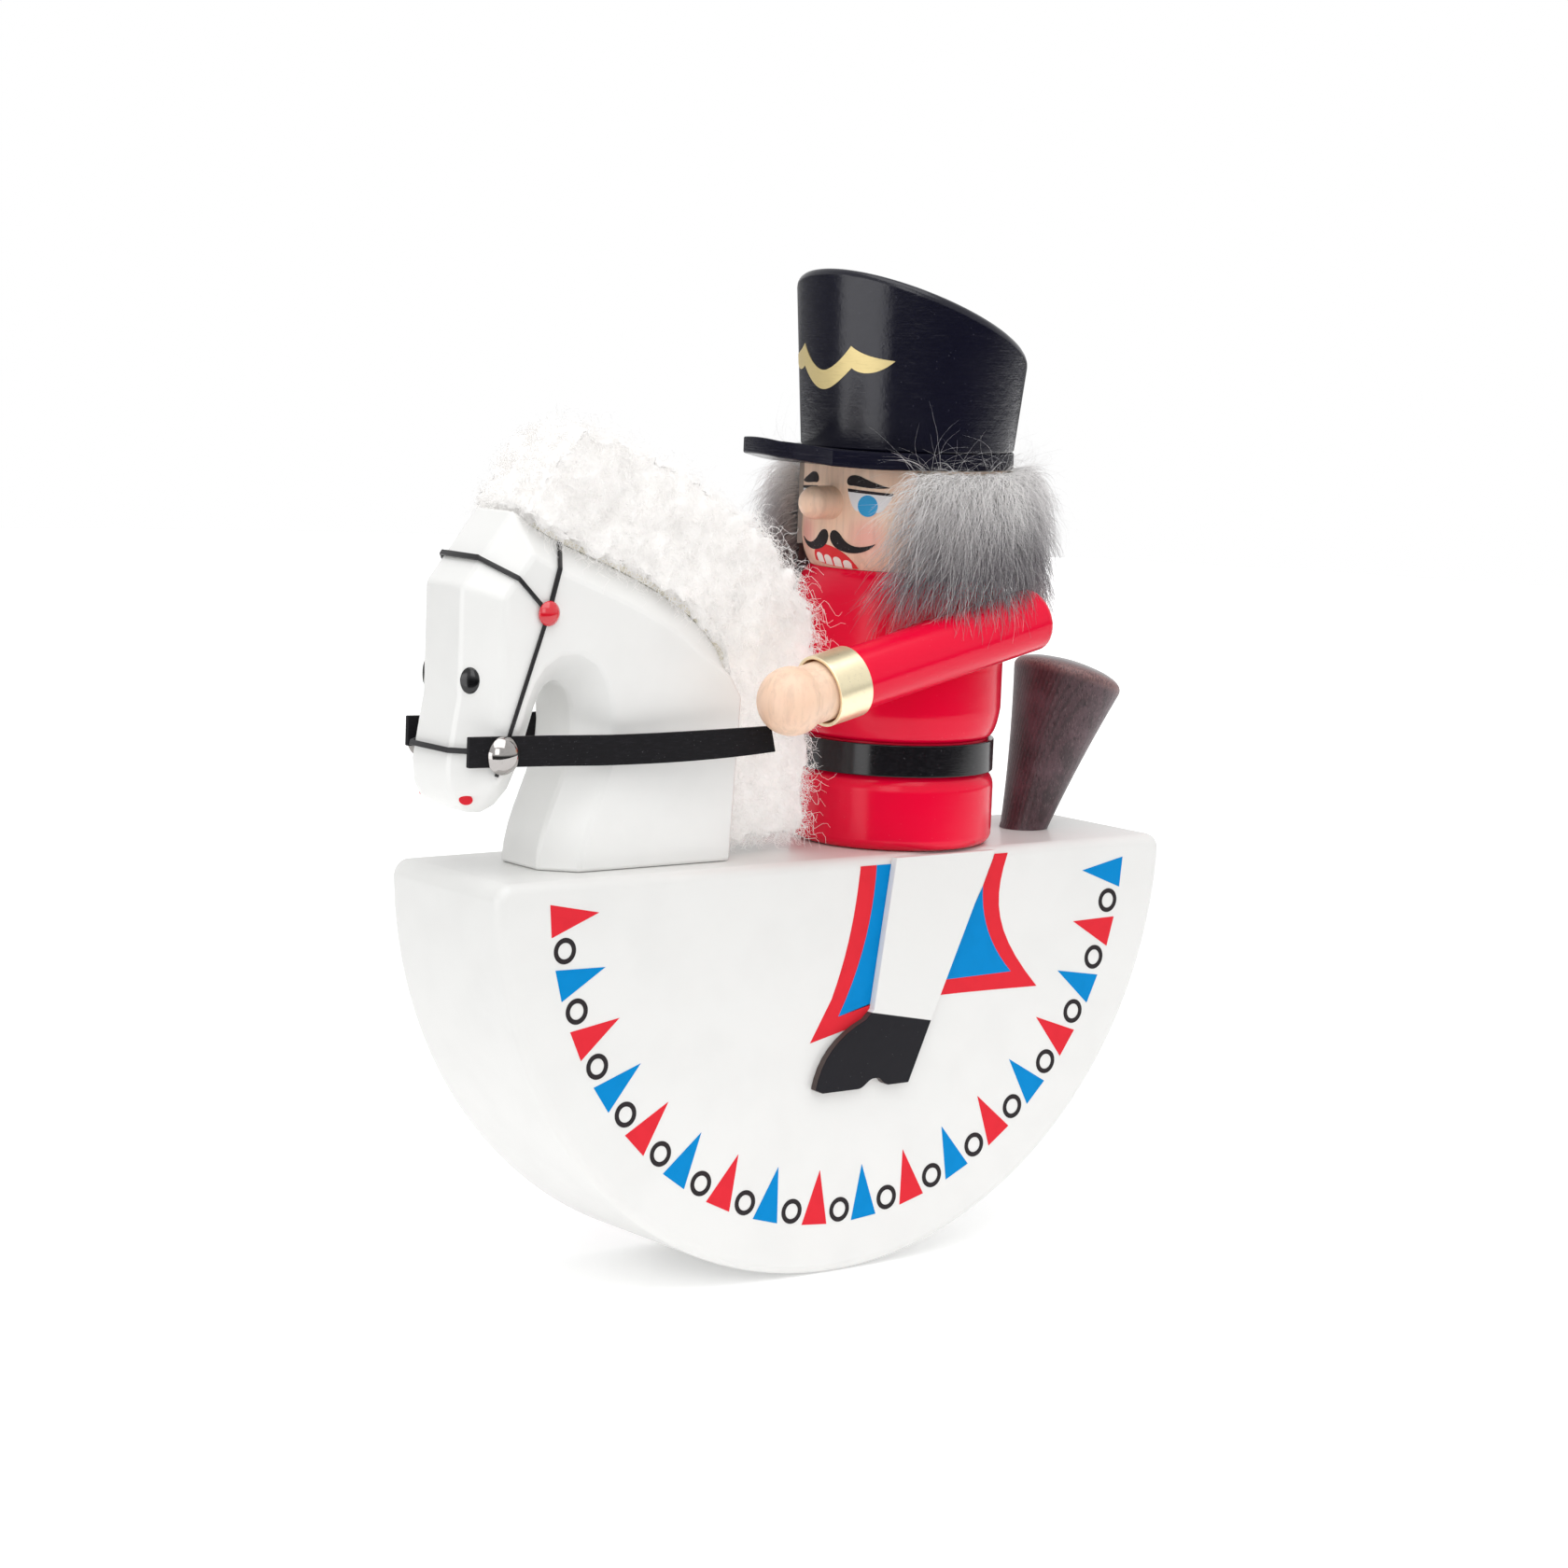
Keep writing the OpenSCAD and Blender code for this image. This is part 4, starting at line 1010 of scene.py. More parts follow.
class TOY_OT_mane(bpy.types.Operator):
    """Curly fleece along the horse's crest and down its neck"""
    bl_idname = "toy.mane"
    bl_label = "Mane"

    PARTS = 7
    SHORT_CURLS, LONG_CURLS, REAR_CURLS = 11500, 2600, 1000

    def execute(self, context):
        chance = random.Random(41)
        core = self.core().data
        wool = self.wool("fleece", 0.15)
        blocked = mm(sizes().chest_radius) + 0.4

        def off_axis(spot):
            return math.hypot(spot.x - RIDER_X, spot.y)

        def rooted(spot):
            return off_axis(spot) > blocked + 1.0 and spot.z > DECK_Z + 1.2

        def free(spot):
            return (spot.z > DECK_Z + 0.3
                    and (off_axis(spot) > blocked or spot.z > SHOULDER_Z - 2))

        spots = surface_spots(core, self.SHORT_CURLS, chance, rooted)
        rear = [spot for spot in spots if spot[1].x > 0.15][:self.REAR_CURLS]
        curls = (fleece(spots, chance, 2.2, 0.42)
                 + fleece(spots[:self.LONG_CURLS], chance, 3.9, 0.55)
                 + fleece(rear, chance, 5.4, 0.7, 11, 0.25))
        strands = [curl for curl in curls if all(free(spot) for spot, _ in curl)]
        pile_pieces(strands, self.PARTS, mm(sizes().wool_fibre), "mane_fleece", wool,
                    0)
        return {"FINISHED"}

    @staticmethod
    def wool(name, shade):
        return pile(name, tones().wool_white, tones().wool_white, 60, 120, shade, 0.13)

    def core(self):
        """Dense body of the fleece, with soft lumps."""
        outer = on_deck(traced(MANE_OUTLINE, 10), HORSE_X)
        crest = on_deck(traced([(0.5, 1.4), *HORSE_CREST], 10), HORSE_X)
        form = add_plate(bmesh.new(), outer + crest, -7.4, 7.4)
        piece = finished(form, "mane_core", self.wool("fleece_core", 0.0),
                         ["mane_wool"], 80, even=False)
        melt = piece.modifiers.new("pressed", "REMESH")
        melt.mode, melt.voxel_size, melt.use_smooth_shade = "VOXEL", 0.6 * MM, True
        ease = piece.modifiers.new("eased", "SMOOTH")
        ease.factor, ease.iterations = 0.5, 14
        baked(piece)
        form = bmesh.new()
        form.from_mesh(piece.data)
        form.normal_update()
        chest = mm(sizes().chest_radius) + 0.5
        for vert in form.verts:
            co = vert.co / MM
            lump = (noise.noise(co * 0.33) * 1.3 + noise.noise(co * 0.8) * 0.8
                    + noise.noise(co * 1.9) * 0.35 - 1.0)
            co += vert.normal * min(lump, 0.25)
            low = max(0.0, min(1.0, (94 - co.z) / 16))
            co.y *= 1 - 0.42 * low
            co.x -= 1.0 * low
            off = Vector((co.x - RIDER_X, co.y, 0))
            if off.length < chest and co.z < SHOULDER_Z:
                co += off.normalized() * (chest - off.length)
            vert.co = co * MM
        form.to_mesh(piece.data)
        form.free()
        return piece


# Rider

BODY_PROFILE = [
    (0, 0.05), ((13.1, 0.05), (13.9, 0.05), (14.7, 0.8), (14.7, 1.6)),
    ((14.7, 8.4), (14.7, 9.6), (14.1, 10.2), (13.7, 10.7)),
    ((13.7, 15.6), (14.3, 16.0), (14.9, 16.8), (15.3, 20)),
    ((15.3, 35.1), (15.3, 37.3), (14.5, 38.9), (13.3, 39.9)), (0, 39.9),
]


class TOY_OT_rider_body(bpy.types.Operator):
    """Turned red body and its black belt"""
    bl_idname = "toy.rider_body"
    bl_label = "Rider's body"

    def execute(self, context):
        share = mm(sizes().chest_radius) / CHEST_TURNED
        profile = [(r * share, z) for r, z in traced(BODY_PROFILE, 8)]
        finished(turned(profile, 128, placed=rider_at(DECK_Z)), "turned_body",
                 red_paint("body_red", (RIDER_X, 0, 80)), ["rider_body"])
        belt = turned(band_profile(13.75, 14.55, 4.6), 120, 356)
        capped(belt)
        bevelled(belt, sharp(60), 0.16, 3)
        moved(belt, rider_at(DECK_Z + 10.8) @ turn_about("Z", 2))
        finished(belt, "patent_belt", strap_leather("patent_leather", 0.06, 0.5, 0.004),
                 ["belt"])
        return {"FINISHED"}


def head_profile():
    radius = mm(sizes().head_radius)
    return traced([(0, 0), ((13.3, 0), (14, 1), (radius, 2.4), (radius, 5)),
                   (radius, 14.6), (0, 14.6)], 12)


def on_head(form):
    """Wraps a flat print round the head: X is degrees from the face's middle, Y the height."""
    wall = head_profile()[1:-1]

    def wrap(p):
        a = math.radians(FACE_DIR + p.x)
        rise = p.y - HEAD_FOOT
        below, above = next(((q, w) for q, w in zip(wall, wall[1:]) if q[1] <= rise <= w[1]),
                            (wall[0], wall[1]))
        share = (rise - below[1]) / (above[1] - below[1])
        r = below[0] + (above[0] - below[0]) * share + p.z
        return Vector((RIDER_X + r * math.cos(a), r * math.sin(a), p.y))
    reshaped(form, wrap)


# Painted on the head: degrees from the face's middle line to one side, and height

EYE_WHITE = [
    (12.2, 111.3), (39.4, 111.0), ((39.4, 111.0), (37, 109.6), (34, 108.4), (31.3, 108.3)),
    ((18.1, 108.4), (15.6, 108.8), (13.6, 109.8), (12.2, 111.3)),
]
LID_LINE = [(12.4, 111.5), (39.4, 111.1), (39.2, 110.75), (12.6, 111.05)]
BROW = [
    ((11.6, 112.5), (11.8, 113.5), (17, 113.7), (22, 113.1)),
    ((22, 113.1), (28, 112.5), (34, 112.1), (37.5, 111.9)),
    ((37.5, 111.9), (28, 111.5), (20, 111.9), (15.5, 111.95)),
    ((15.5, 111.95), (13, 111.9), (11.8, 112), (11.6, 112.5)),
]
MOUSTACHE = [
    ((0.7, 104.5), (1.2, 105.7), (5.6, 105.8), (9.6, 104.5)),
    ((9.6, 104.5), (14, 103.2), (21, 102.9), (30.5, 103.9)),
    ((30.5, 103.9), (26, 102.5), (18, 102.2), (12.5, 102.4)),
    ((12.5, 102.4), (6, 102.6), (1.4, 103.2), (0.7, 104.5)),
]
IRIS_AT, IRIS_RADIUS = (25.0, 109.2), 1.52
LIPS = [                 # open, and slanting down to the rider's left
    ((-17.0, 100.8), (-17.2, 102.2), (-10, 103.8), (-3.0, 103.3)),
    ((-3.0, 103.3), (6, 103.0), (14, 102.2), (18.6, 100.1)),
    ((18.6, 100.1), (10, 99.9), (-8, 100.3), (-17.0, 100.8)),
]
TEETH = ((-13.6, 100.65, 102.05), (-6.2, 100.4, 101.85), (1.2, 100.25, 101.65),
         (8.4, 100.15, 101.3))


def iris_outline():
    """Outline of a round spot on the head, whose width is in degrees."""
    wide = math.degrees(IRIS_RADIUS / mm(sizes().head_radius))
    turns = [2 * math.pi * i / 32 for i in range(32)]
    return [(IRIS_AT[0] + wide * math.cos(a), IRIS_AT[1] + IRIS_RADIUS * math.sin(a))
            for a in turns]


def tooth(left, low, high):
    """Outline of a tooth with rounded upper corners."""
    return traced([
        (left, low), (left + 6.0, low - 0.1),
        ((left + 6.1, high - 0.5), (left + 5.2, high + 0.1), (left + 1.2, high + 0.15),
         (left + 0.2, high - 0.4))], 6)


class TOY_OT_head(bpy.types.Operator):
    """Turned wooden head with its nose peg and painted face"""
    bl_idname = "toy.head"
    bl_label = "Rider's head"

    def execute(self, context):
        radius = mm(sizes().head_radius)
        wood = bare_wood("head_wood", (RIDER_X, 0, 107))
        cheeks = []
        for away in (-25, 25):
            a = math.radians(FACE_DIR + away)
            cheeks.append((RIDER_X + radius * math.cos(a), radius * math.sin(a), 104.6))
        blush(wood, cheeks, 4.6, 0.5)
        finished(turned(head_profile(), 128, placed=rider_at(HEAD_FOOT)), "turned_head", wood,
                 ["head"])
        nose = traced([(0, 0), (2.35, 0), (2.4, 3.0)]) + arc((0, 7.0), 2.4, 0, 90, 12)[1:]
        nose = [(max(r, 0.0), z) for r, z in nose]
        finished(turned(nose, 48, placed=facing(109.3, 10.7)), "nose_peg",
                 bare_wood("nose_wood", (0, 0, 109), (0, 0, 0)), ["nose"], 50)
        self.face()
        return {"FINISHED"}

    @staticmethod
    def face():
        """Each colour is a film of its own, and what is painted over another stands out further."""
        def both(*marks):
            return [[(-side * x, y) for x, y in traced(parts)] for side in SIDES for parts in marks]
        for name, tone, lift, slot, outlines in (
                ("eye_whites", paint_tone(236, 236, 238), 0.04, "white_lacquer",
                 both(EYE_WHITE)),
                ("irises", tones().iris_blue, 0.07, None, both(iris_outline())),
                ("face_lines", tones().print_black, 0.09, "black_lacquer",
                 both(LID_LINE, BROW, MOUSTACHE)),
                ("lips", tones().lip_red, 0.05, "red_lacquer", [traced(LIPS, 10)]),
                ("teeth", paint_tone(244, 240, 234), 0.08, "white_lacquer",
                 [tooth(*size) for size in TEETH])):
            form = bmesh.new()
            for points in outlines:
                add_plate(form, points, -0.08, lift, "Z")
            cut_to_bend(form, [100.2 + 0.4 * i for i in range(13)])
            on_head(form)
            speckle = 0.5 if name == "face_lines" else 0.0
            finished(form, "painted_" + name, flat_print(name + "_paint", tone, 0.4, speckle),
                     even=False)


# Hair

class TOY_OT_hair(bpy.types.Operator):
    """Grey fur round the sides and the back of the head"""
    bl_idname = "toy.hair"
    bl_label = "Rider's hair"

    HAIRS, STRAY_EVERY, PARTS = 12600, 12, 4

    def execute(self, context):
        chance = random.Random(7)
        self.core()
        fur = pile("grey_fur", tones().fur_dark, tones().fur_light, 99.0, 114, 0.45)
        strands = [self.hair(chance, count % self.STRAY_EVERY == 0)
                   for count in range(self.HAIRS)]
        pile_pieces(strands, self.PARTS, mm(sizes().fur_hair), "fur_hairs", fur, 10)
        return {"FINISHED"}

    @staticmethod
    def core():
        """Dense underfur that carries the hairs."""
        profile = traced([(15.6, 114.0), (17.2, 113.6), (18.2, 110), (18.8, 105.5), (18.6, 101),
                          (17.8, 99.2), (15.7, 99.0), (15.6, 114.0)])
        form = turned(profile, 96, 240, placed=rider_at(0) @ turn_about("Z", HEAD_TURN - 120))
        capped(form)
        bmesh.ops.recalc_face_normals(form, faces=form.faces)
        bmesh.ops.subdivide_edges(form, edges=form.edges[:], cuts=2, use_grid_fill=True)
        for vert in form.verts:
            off = Vector((vert.co.x - RIDER_X, vert.co.y, 0))
            if off.length > 16.2:
                lump = noise.noise(vert.co * 0.45) * 0.7 + noise.noise(vert.co * 1.3) * 0.35
                vert.co += off.normalized() * lump
        fur = pile("underfur", darker(tones().fur_dark, 0.7), tones().fur_light, 98, 126, 0.3)
        finished(form, "fur_core", fur, ["hair_fur"], 60, even=False)

    @staticmethod
    def hair(chance, stray):
        """One hair: it leaves the skin outwards, sweeps to the face and falls."""
        foot, high, skin = 99.2, 15.0, 15.6
        away = chance.uniform(-130, 130)
        rise = chance.random() ** (0.5 if stray else 0.85)
        a = math.radians(HEAD_TURN + away)
        out = Vector((math.cos(a), math.sin(a), 0))
        around = Vector((-out.y, out.x, 0)) * (1 if away > 0 else -1)
        spot = Vector((RIDER_X, 0, foot + high * rise)) + out * (skin + 1.6 * chance.random())
        front = min(1.0, max(0.0, (abs(away) - 60) / 60))
        sweep = 0.45 + 0.85 * front * (1.15 - rise)
        heading = (out * chance.uniform(0.7, 1.15) + around * (sweep + chance.gauss(0, 0.3))
                   + Vector((0, 0, -0.45 + 1.0 * rise ** 1.4 + chance.gauss(0, 0.22)))).normalized()
        length = chance.uniform(5.0, 10.0) + (2.6 + 2.0 * front) * (1 - rise)
        fall = chance.uniform(0.12, 0.36)
        if stray:
            length += chance.uniform(1.0, 5.0)
            fall *= 0.35
            if rise > 0.8 and chance.random() < 0.6:
                heading = (heading + Vector((0, 0, chance.uniform(0.3, 1.2)))).normalized()
        limit = chance.gauss(20.9, 1.3) + (1.6 if stray else 0)
        bend = chance.gauss(0.02, 0.18 if stray else 0.05)
        thick, wander, steps = (0.28, 0.06, 11) if stray else (1.0, 0.12, 7)
        strand = []
        for i in range(steps + 1):
            strand.append((spot.copy(), thick * max(0.15, 1 - 0.8 * (i / steps) ** 1.2)))
            heading = (heading + Vector((0, 0, -fall * 7 / steps))
                       + around * (bend + chance.gauss(0, wander))
                       + out * chance.gauss(0, 0.8 * wander)).normalized()
            spot = clear_of_rider(spot + heading * (length / steps), limit)
        return strand


def clear_of_rider(spot, limit):
    """Moves a point of a hair out of the head, the brim, the body and the sleeves."""
    off = Vector((spot.x - RIDER_X, spot.y, 0))
    away = off.normalized()
    limit -= 0.35 * max(0.0, spot.z - 108)
    wider = spot.z > BRIM_FOOT - 0.4 or spot.z < SHOULDER_Z
    least = 16.2 if wider else 15.2
    sleeve = 4.75
    pressed = off.length - 0.4 * max(0.0, off.length - limit)
    spot = spot + away * (max(least, pressed) - off.length)
    side = 1 if spot.y > 0 else -1
    along = on_arm(side, 0).to_3x3() @ Vector((0, 0, 1))
    from_arm = spot - Vector((RIDER_X, side * ARM_Y, ARM_Z))
    reach = from_arm.dot(along)
    aside = from_arm - along * reach
    if SLEEVE_END < reach < 27 and 0 < aside.length < sleeve:
        spot = spot + aside.normalized() * (sleeve - aside.length)
    return spot


# Hat

class TOY_OT_hat(bpy.types.Operator):
    """Flat brim with a bent peak, the leaning crown cut at a slope, and the gold badge"""
    bl_idname = "toy.hat"
    bl_label = "Rider's hat"

    FOOT_R = 15.4
    TOP_R = 17.7
    HIGH = 18.3              # along the crown's axis
    SLOPE = 23.1
    LEAN = 2.0
    BRIM_THICK = 2.4

    def execute(self, context):
        front = self.HIGH + self.TOP_R * math.tan(math.radians(self.SLOPE))
        self.brim()
        self.crown(front)
        self.badge(front)
        return {"FINISHED"}

    def brim(self):
        """Flat brim, whose peak has a blunt end and bends up towards it."""
        reach, ring, corner = 25.2, 15.5, 21.6
        touch = corner + math.degrees(math.acos(ring / reach))
        outline = (arc((0, 0), reach, -corner, corner, 24)
                   + arc((0, 0), ring, touch, 360 - touch, 120))
        form = add_plate(bmesh.new(), outline, 0, self.BRIM_THICK, "Z")
        bevelled(form, sharp(60), 0.28, 3)
        sliced(form, "X", [15.7 + 0.8 * i for i in range(12)])
        sliced(form, "Y", [-7.5 + 1.5 * i for i in range(11)])
        peak_from, peak_long, peak_half = 15.6, 9.6, 9.3

        def bent(p):
            out = max(0.0, p.x - peak_from)
            lean = p.y / peak_half
            warp = 0.5 * (1 - lean * lean) + 1.0 * max(0.0, -lean)
            return Vector((p.x, p.y, p.z + out * math.tan(math.radians(3.4))
                           + warp * (out / peak_long) ** 1.5))
        reshaped(form, bent)
        moved(form, rider_at(BRIM_FOOT) @ turn_about("Z", FACE_DIR))
        paint = hat_paint("brim_lacquer", 1.2, 0.15)
        height = paint.axes(paint.place())[2]
        edge = (height.step(BRIM_FOOT + 0.12, BRIM_FOOT + 0.4)
                * height.step(BRIM_FOOT + 2.3, BRIM_FOOT + 2.05))
        plies = paint.noise(paint.place((RIDER_X, 0, 0), stretch=(0.16, 0.16, 3.2)), 1.1, 4.0, 0.7)
        paint.tint(edge * (0.3 * plies.step(0.5, 0.75)), paint_tone(70, 68, 76))
        paint.emboss(plies, 0.05)
        finished(form, "hat_brim_plate", paint, ["hat_brim"])

    def crown(self, front):
        """Flared block, turned longer than the crown and then cut at its foot and its slope."""
        spare = 3.0
        flare = spare * (self.TOP_R - self.FOOT_R) / front
        form = bmesh.new()
        bmesh.ops.create_cone(form, cap_ends=True, segments=144, radius1=self.FOOT_R - flare,
                              radius2=self.TOP_R + flare, depth=front + 2 * spare,
                              matrix=Matrix.Translation((0, 0, front / 2)))
        leant = turn_about("Y", self.LEAN)
        moved(form, leant)
        trimmed(form, (0, 0, 0), (0, 0, -1))
        trimmed(form, leant @ Vector((0, 0, self.HIGH)),
                turn_about("Y", self.SLOPE) @ Vector((0, 0, 1)))

        def top_edge(edge):
            return sharp(30)(edge) and min(v.co.z for v in edge.verts) > 5
        bevelled(form, top_edge, 1.4, 5)

        def foot_edge(edge):
            return sharp(30)(edge) and max(v.co.z for v in edge.verts) < 1
        bevelled(form, foot_edge, 0.3, 2)
        moved(form, rider_at(CROWN_FOOT) @ turn_about("Z", HEAD_TURN))
        finished(form, "hat_crown_block", hat_paint("crown_lacquer"),
                 ["hat_crown"], crease=40)

    def badge(self, front):
        """Wavy band round the front of the crown: degrees from its middle, and height."""
        rate = (self.TOP_R - self.FOOT_R) / front
        middle = 175.3
        wing = [((0, 10.4), (6, 10.4), (13, 12.0), (18.4, 14.0)),
                ((18.4, 14.0), (24, 12.8), (33, 12.4), (41.8, 12.25)),
                ((41.8, 12.25), (36, 10.6), (26, 9.6), (18.9, 10.9)),
                ((18.9, 10.9), (12, 9.0), (6, 7.7), (0, 7.7))]
        half = traced(wing, 10)
        outline = without_doubles(half + [(-x, z) for x, z in half[::-1]])
        form = add_plate(bmesh.new(), outline, -0.05, 0.06, "Z")
        cut_to_bend(form)

        def wrap(p):
            a = math.radians(middle + p.x)
            r = self.FOOT_R + rate * p.y + p.z
            return Vector((r * math.cos(a), r * math.sin(a), p.y))
        reshaped(form, wrap)
        moved(form, rider_at(CROWN_FOOT) @ turn_about("Z", HEAD_TURN)
              @ turn_about("Y", self.LEAN))
        gold = metal("gold_leaf", tones().badge_gold, 0.42, 0.004, 0.12, (0.3, 0.3, 2.5))
        finished(form, "hat_badge", gold, even=False)


# Arms

class TOY_OT_arms(bpy.types.Operator):
    """Red sleeves, brass cuffs and bare wooden hands"""
    bl_idname = "toy.arms"
    bl_label = "Arms"

    def execute(self, context):
        radius, hand = mm(sizes().sleeve_radius), mm(sizes().hand_radius)
        foot = 4.2               # radius of the hand's flat end in the cuff
        for side, word in NAMED_SIDES:
            sleeve = turned(traced([(0, 0), ((radius - 1.2, 0), (radius - 0.6, 0),
                                             (radius, 0.6), (radius, 1.2)),
                                    (radius, 37.6), (radius - 0.25, 37.78), (0, 37.78)], 6),
                            72, placed=on_arm(side, SLEEVE_END))
            piece = finished(sleeve, "sleeve_" + word + "_wood",
                             red_paint("sleeve_red_" + word, (RIDER_X, side * ARM_Y, ARM_Z),
                                       (0, 90 + ARM_SLOPE, 0)),
                             ["sleeve_" + word], even=False)
            self.hollow(piece)
            cuff = turned(band_profile(4.55, 5.05, 5.6), 64)
            bevelled(cuff, sharp(60), 0.12, 3)
            moved(cuff, on_arm(side, 24.1))
            finished(cuff, "cuff_ring_" + word,
                     metal("satin_brass_" + word, paint_tone(255, 242, 205), 0.2, 0.035, 0.25,
                           share=0.8), ["cuff_" + word])
            start = math.degrees(math.asin(foot / hand))
            ball = arc((0, 7.37), hand, -90 + start, 90, 22)
            profile = [(0, 0), (foot, 0)] + [(max(r, 0.0), z) for r, z in ball]
            finished(turned(profile, 64, placed=on_arm(side, 27.23)), "hand_wood_" + word,
                     bare_wood("hand_wood_" + word, (0, 0, 83), (0, 90 + ARM_SLOPE, 0)),
                     ["hand_" + word], 60)
        return {"FINISHED"}

    @staticmethod
    def hollow(piece):
        """Cuts the hollow that fits the chest into the sleeve."""
        radius = (mm(sizes().chest_radius) + 0.05) * MM
        form = bmesh.new()
        bmesh.ops.create_cone(form, cap_ends=True, segments=160, radius1=radius, radius2=radius,
                              depth=80 * MM, matrix=Matrix.Translation((RIDER_X * MM, 0, 90 * MM)))
        mesh = bpy.data.meshes.new("chest_cutter")
        form.to_mesh(mesh)
        form.free()
        cutter = bpy.data.objects.new("chest_cutter", mesh)
        bpy.context.scene.collection.objects.link(cutter)
        cut = piece.modifiers.new("hollow", "BOOLEAN")
        cut.operation, cut.solver, cut.object = "DIFFERENCE", "EXACT", cutter
        baked(piece)
        bpy.data.objects.remove(cutter)


# Legs and saddle

LEG_OUTLINE = [
    (0.5, -0.2), (19, -0.2), (8.3, -24.3), (4.5, -33.1), (0.8, -33.1),
    ((0.8, -33.1), (-0.6, -32.8), (-0.4, -31.9), (-1.4, -31.9)),
    ((-1.9, -31.9), (-3, -31.9), (-3.6, -33.1), (-4.7, -33.2)),
    (-11.2, -33.2), (-12.6, -32.6),
    ((-12.6, -32.6), (-11.8, -28.4), (-9.1, -25.2), (-3.9, -23.2)), (-2.5, -21.9),
]


# Print on the rocker's faces, in the toy's own X and Z

SADDLE_SEAM = ((-1.6, 37.4), (2.6, 45), (4.1, 52), (4.3, 58.75))
SADDLE_RED = (
    [((1.4, 58.75), (0.9, 53), (0.0, 47), (-2.9, 40.0)), (-6.5, 34.0),
     (4.0, 36.3), (4.2, 38.8), (-1.6, 37.4), SADDLE_SEAM],
    [(26.5, 59.0), (29.0, 59.0), ((29.0, 59.0), (26.4, 52), (27.0, 47.4), (35.9, 38.7)),
     ((35.9, 38.7), (30, 38.8), (22, 39.0), (16.2, 38.9)), (17.2, 41.1), (30.7, 41.3),
     ((30.7, 41.3), (26.4, 45.4), (24.4, 49.6), (24.5, 54.4))],
)
SADDLE_BLUE = (
    [(4.3, 58.75), (8.4, 58.75), (5.0, 38.8), (-1.6, 37.4), SADDLE_SEAM],
    [(24.5, 54.4), ((24.5, 54.4), (24.4, 49.6), (26.4, 45.4), (30.7, 41.3)), (17.2, 41.1)],
)


class TOY_OT_legs(bpy.types.Operator):
    """Thin leg plates with white trousers and black boots, and the printed saddle"""
    bl_idname = "toy.legs"
    bl_label = "Legs and saddle"

    def execute(self, context):
        half = rocker_half()
        for side, word in NAMED_SIDES:
            form = add_plate(bmesh.new(), on_deck(traced(LEG_OUTLINE, 8), 6.5),
                             side * (half + 0.05), side * (half + 1.25))
            bevelled(form, sharp(60), 0.14, 2)
            finished(form, "leg_plate_" + word, self.leg_paint(side, word, half),
                     ["leg_" + word])
        for colour, tone, slot, patches in (
                ("red", tones().print_red, "red_lacquer", SADDLE_RED),
                ("blue", tones().print_blue, None, SADDLE_BLUE)):
            form = bmesh.new()
            for parts in patches:
                film_on_faces(form, traced(parts, 10))
            finished(form, "saddle_" + colour, flat_print("saddle_%s_print" % colour, tone),
                     even=False)
        return {"FINISHED"}

    @staticmethod
    def leg_paint(side, word, half):
        """Boot black with white trousers above a slanting line, and bare edges."""
        paint = gloss_paint("leg_paint_" + word, tones().boot_black, 0.36, 0.0, 0.02, shine=0.2)
        x, y, z = paint.axes(paint.place())
        top = z - (38.4 - 0.19 * x)
        paint.tint((side * y).step(half + 1.22, half + 1.12), paint_tone(74, 64, 62))
        paint.tint(top.step(-0.03, 0.12), tones().white_paint)
        return paint


# Tail

class TOY_OT_tail(bpy.types.Operator):
    """Flared plug of dark wood"""
    bl_idname = "toy.tail"
    bl_label = "Tail"

    def execute(self, context):
        profile = traced([
            (0, -3), (3.45, -3), ((3.45, 0), (4.7, 8.2), (6.3, 15.8), (8.2, 23.3)),
            ((8.2, 23.3), (8.55, 24.5), (7.2, 25.3), (5.2, 25.7)),
            ((5.2, 25.7), (3.6, 26.0), (1.8, 26.3), (0, 26.3))], 12)
        form = turned(profile, 72,
                      placed=Matrix.Translation(TAIL_AT) @ turn_about("Y", TAIL_LEAN))
        trimmed(form, (0, 0, DECK_Z + 0.05), (0, 0, -1))
        finished(form, "tail_plug", tail_wood(), ["tail"], 50)
        return {"FINISHED"}


class TOY_OT_inside(bpy.types.Operator):
    """Wood, iron and hide of the pieces that stay as the model has them"""
    bl_idname = "toy.inside"
    bl_label = "Inner pieces"

    def execute(self, context):
        dressed(bare_wood("dowel_wood"), "horse_dowel_front", "horse_dowel_rear", "body_dowel",
                "neck_dowel", "hat_dowel", "wrist_peg_left", "wrist_peg_right")
        dressed(cast_iron(), "balance_slug")
        dressed(hide("mane_hide", paint_tone(242, 238, 222)), "mane_backing")
        dressed(hide("fur_hide", paint_tone(180, 172, 164)), "hair_backing")
        return {"FINISHED"}


# Stage

CAMERA_AT = (-340.28658, -427.68404, 141.78492)
CAMERA_AZIMUTH = -38.31428
CAMERA_HEIGHT = 7.61033
CAMERA_ROLL = -2.29792
CAMERA_LENS = 88.218


def soft_light(name, at, target, size, power):
    """Large soft white lamp that points from at to target; both are in metres."""
    lamp = bpy.data.lights.new(name, "AREA")
    lamp.shape, lamp.size, lamp.size_y = "RECTANGLE", size[0], size[1]
    lamp.energy = power
    holder = bpy.data.objects.new(name, lamp)
    bpy.context.scene.collection.objects.link(holder)
    holder.location = at
    holder.rotation_euler = (Vector(target) - Vector(at)).to_track_quat("-Z", "Y").to_euler()
    holder.visible_camera = False
    return holder


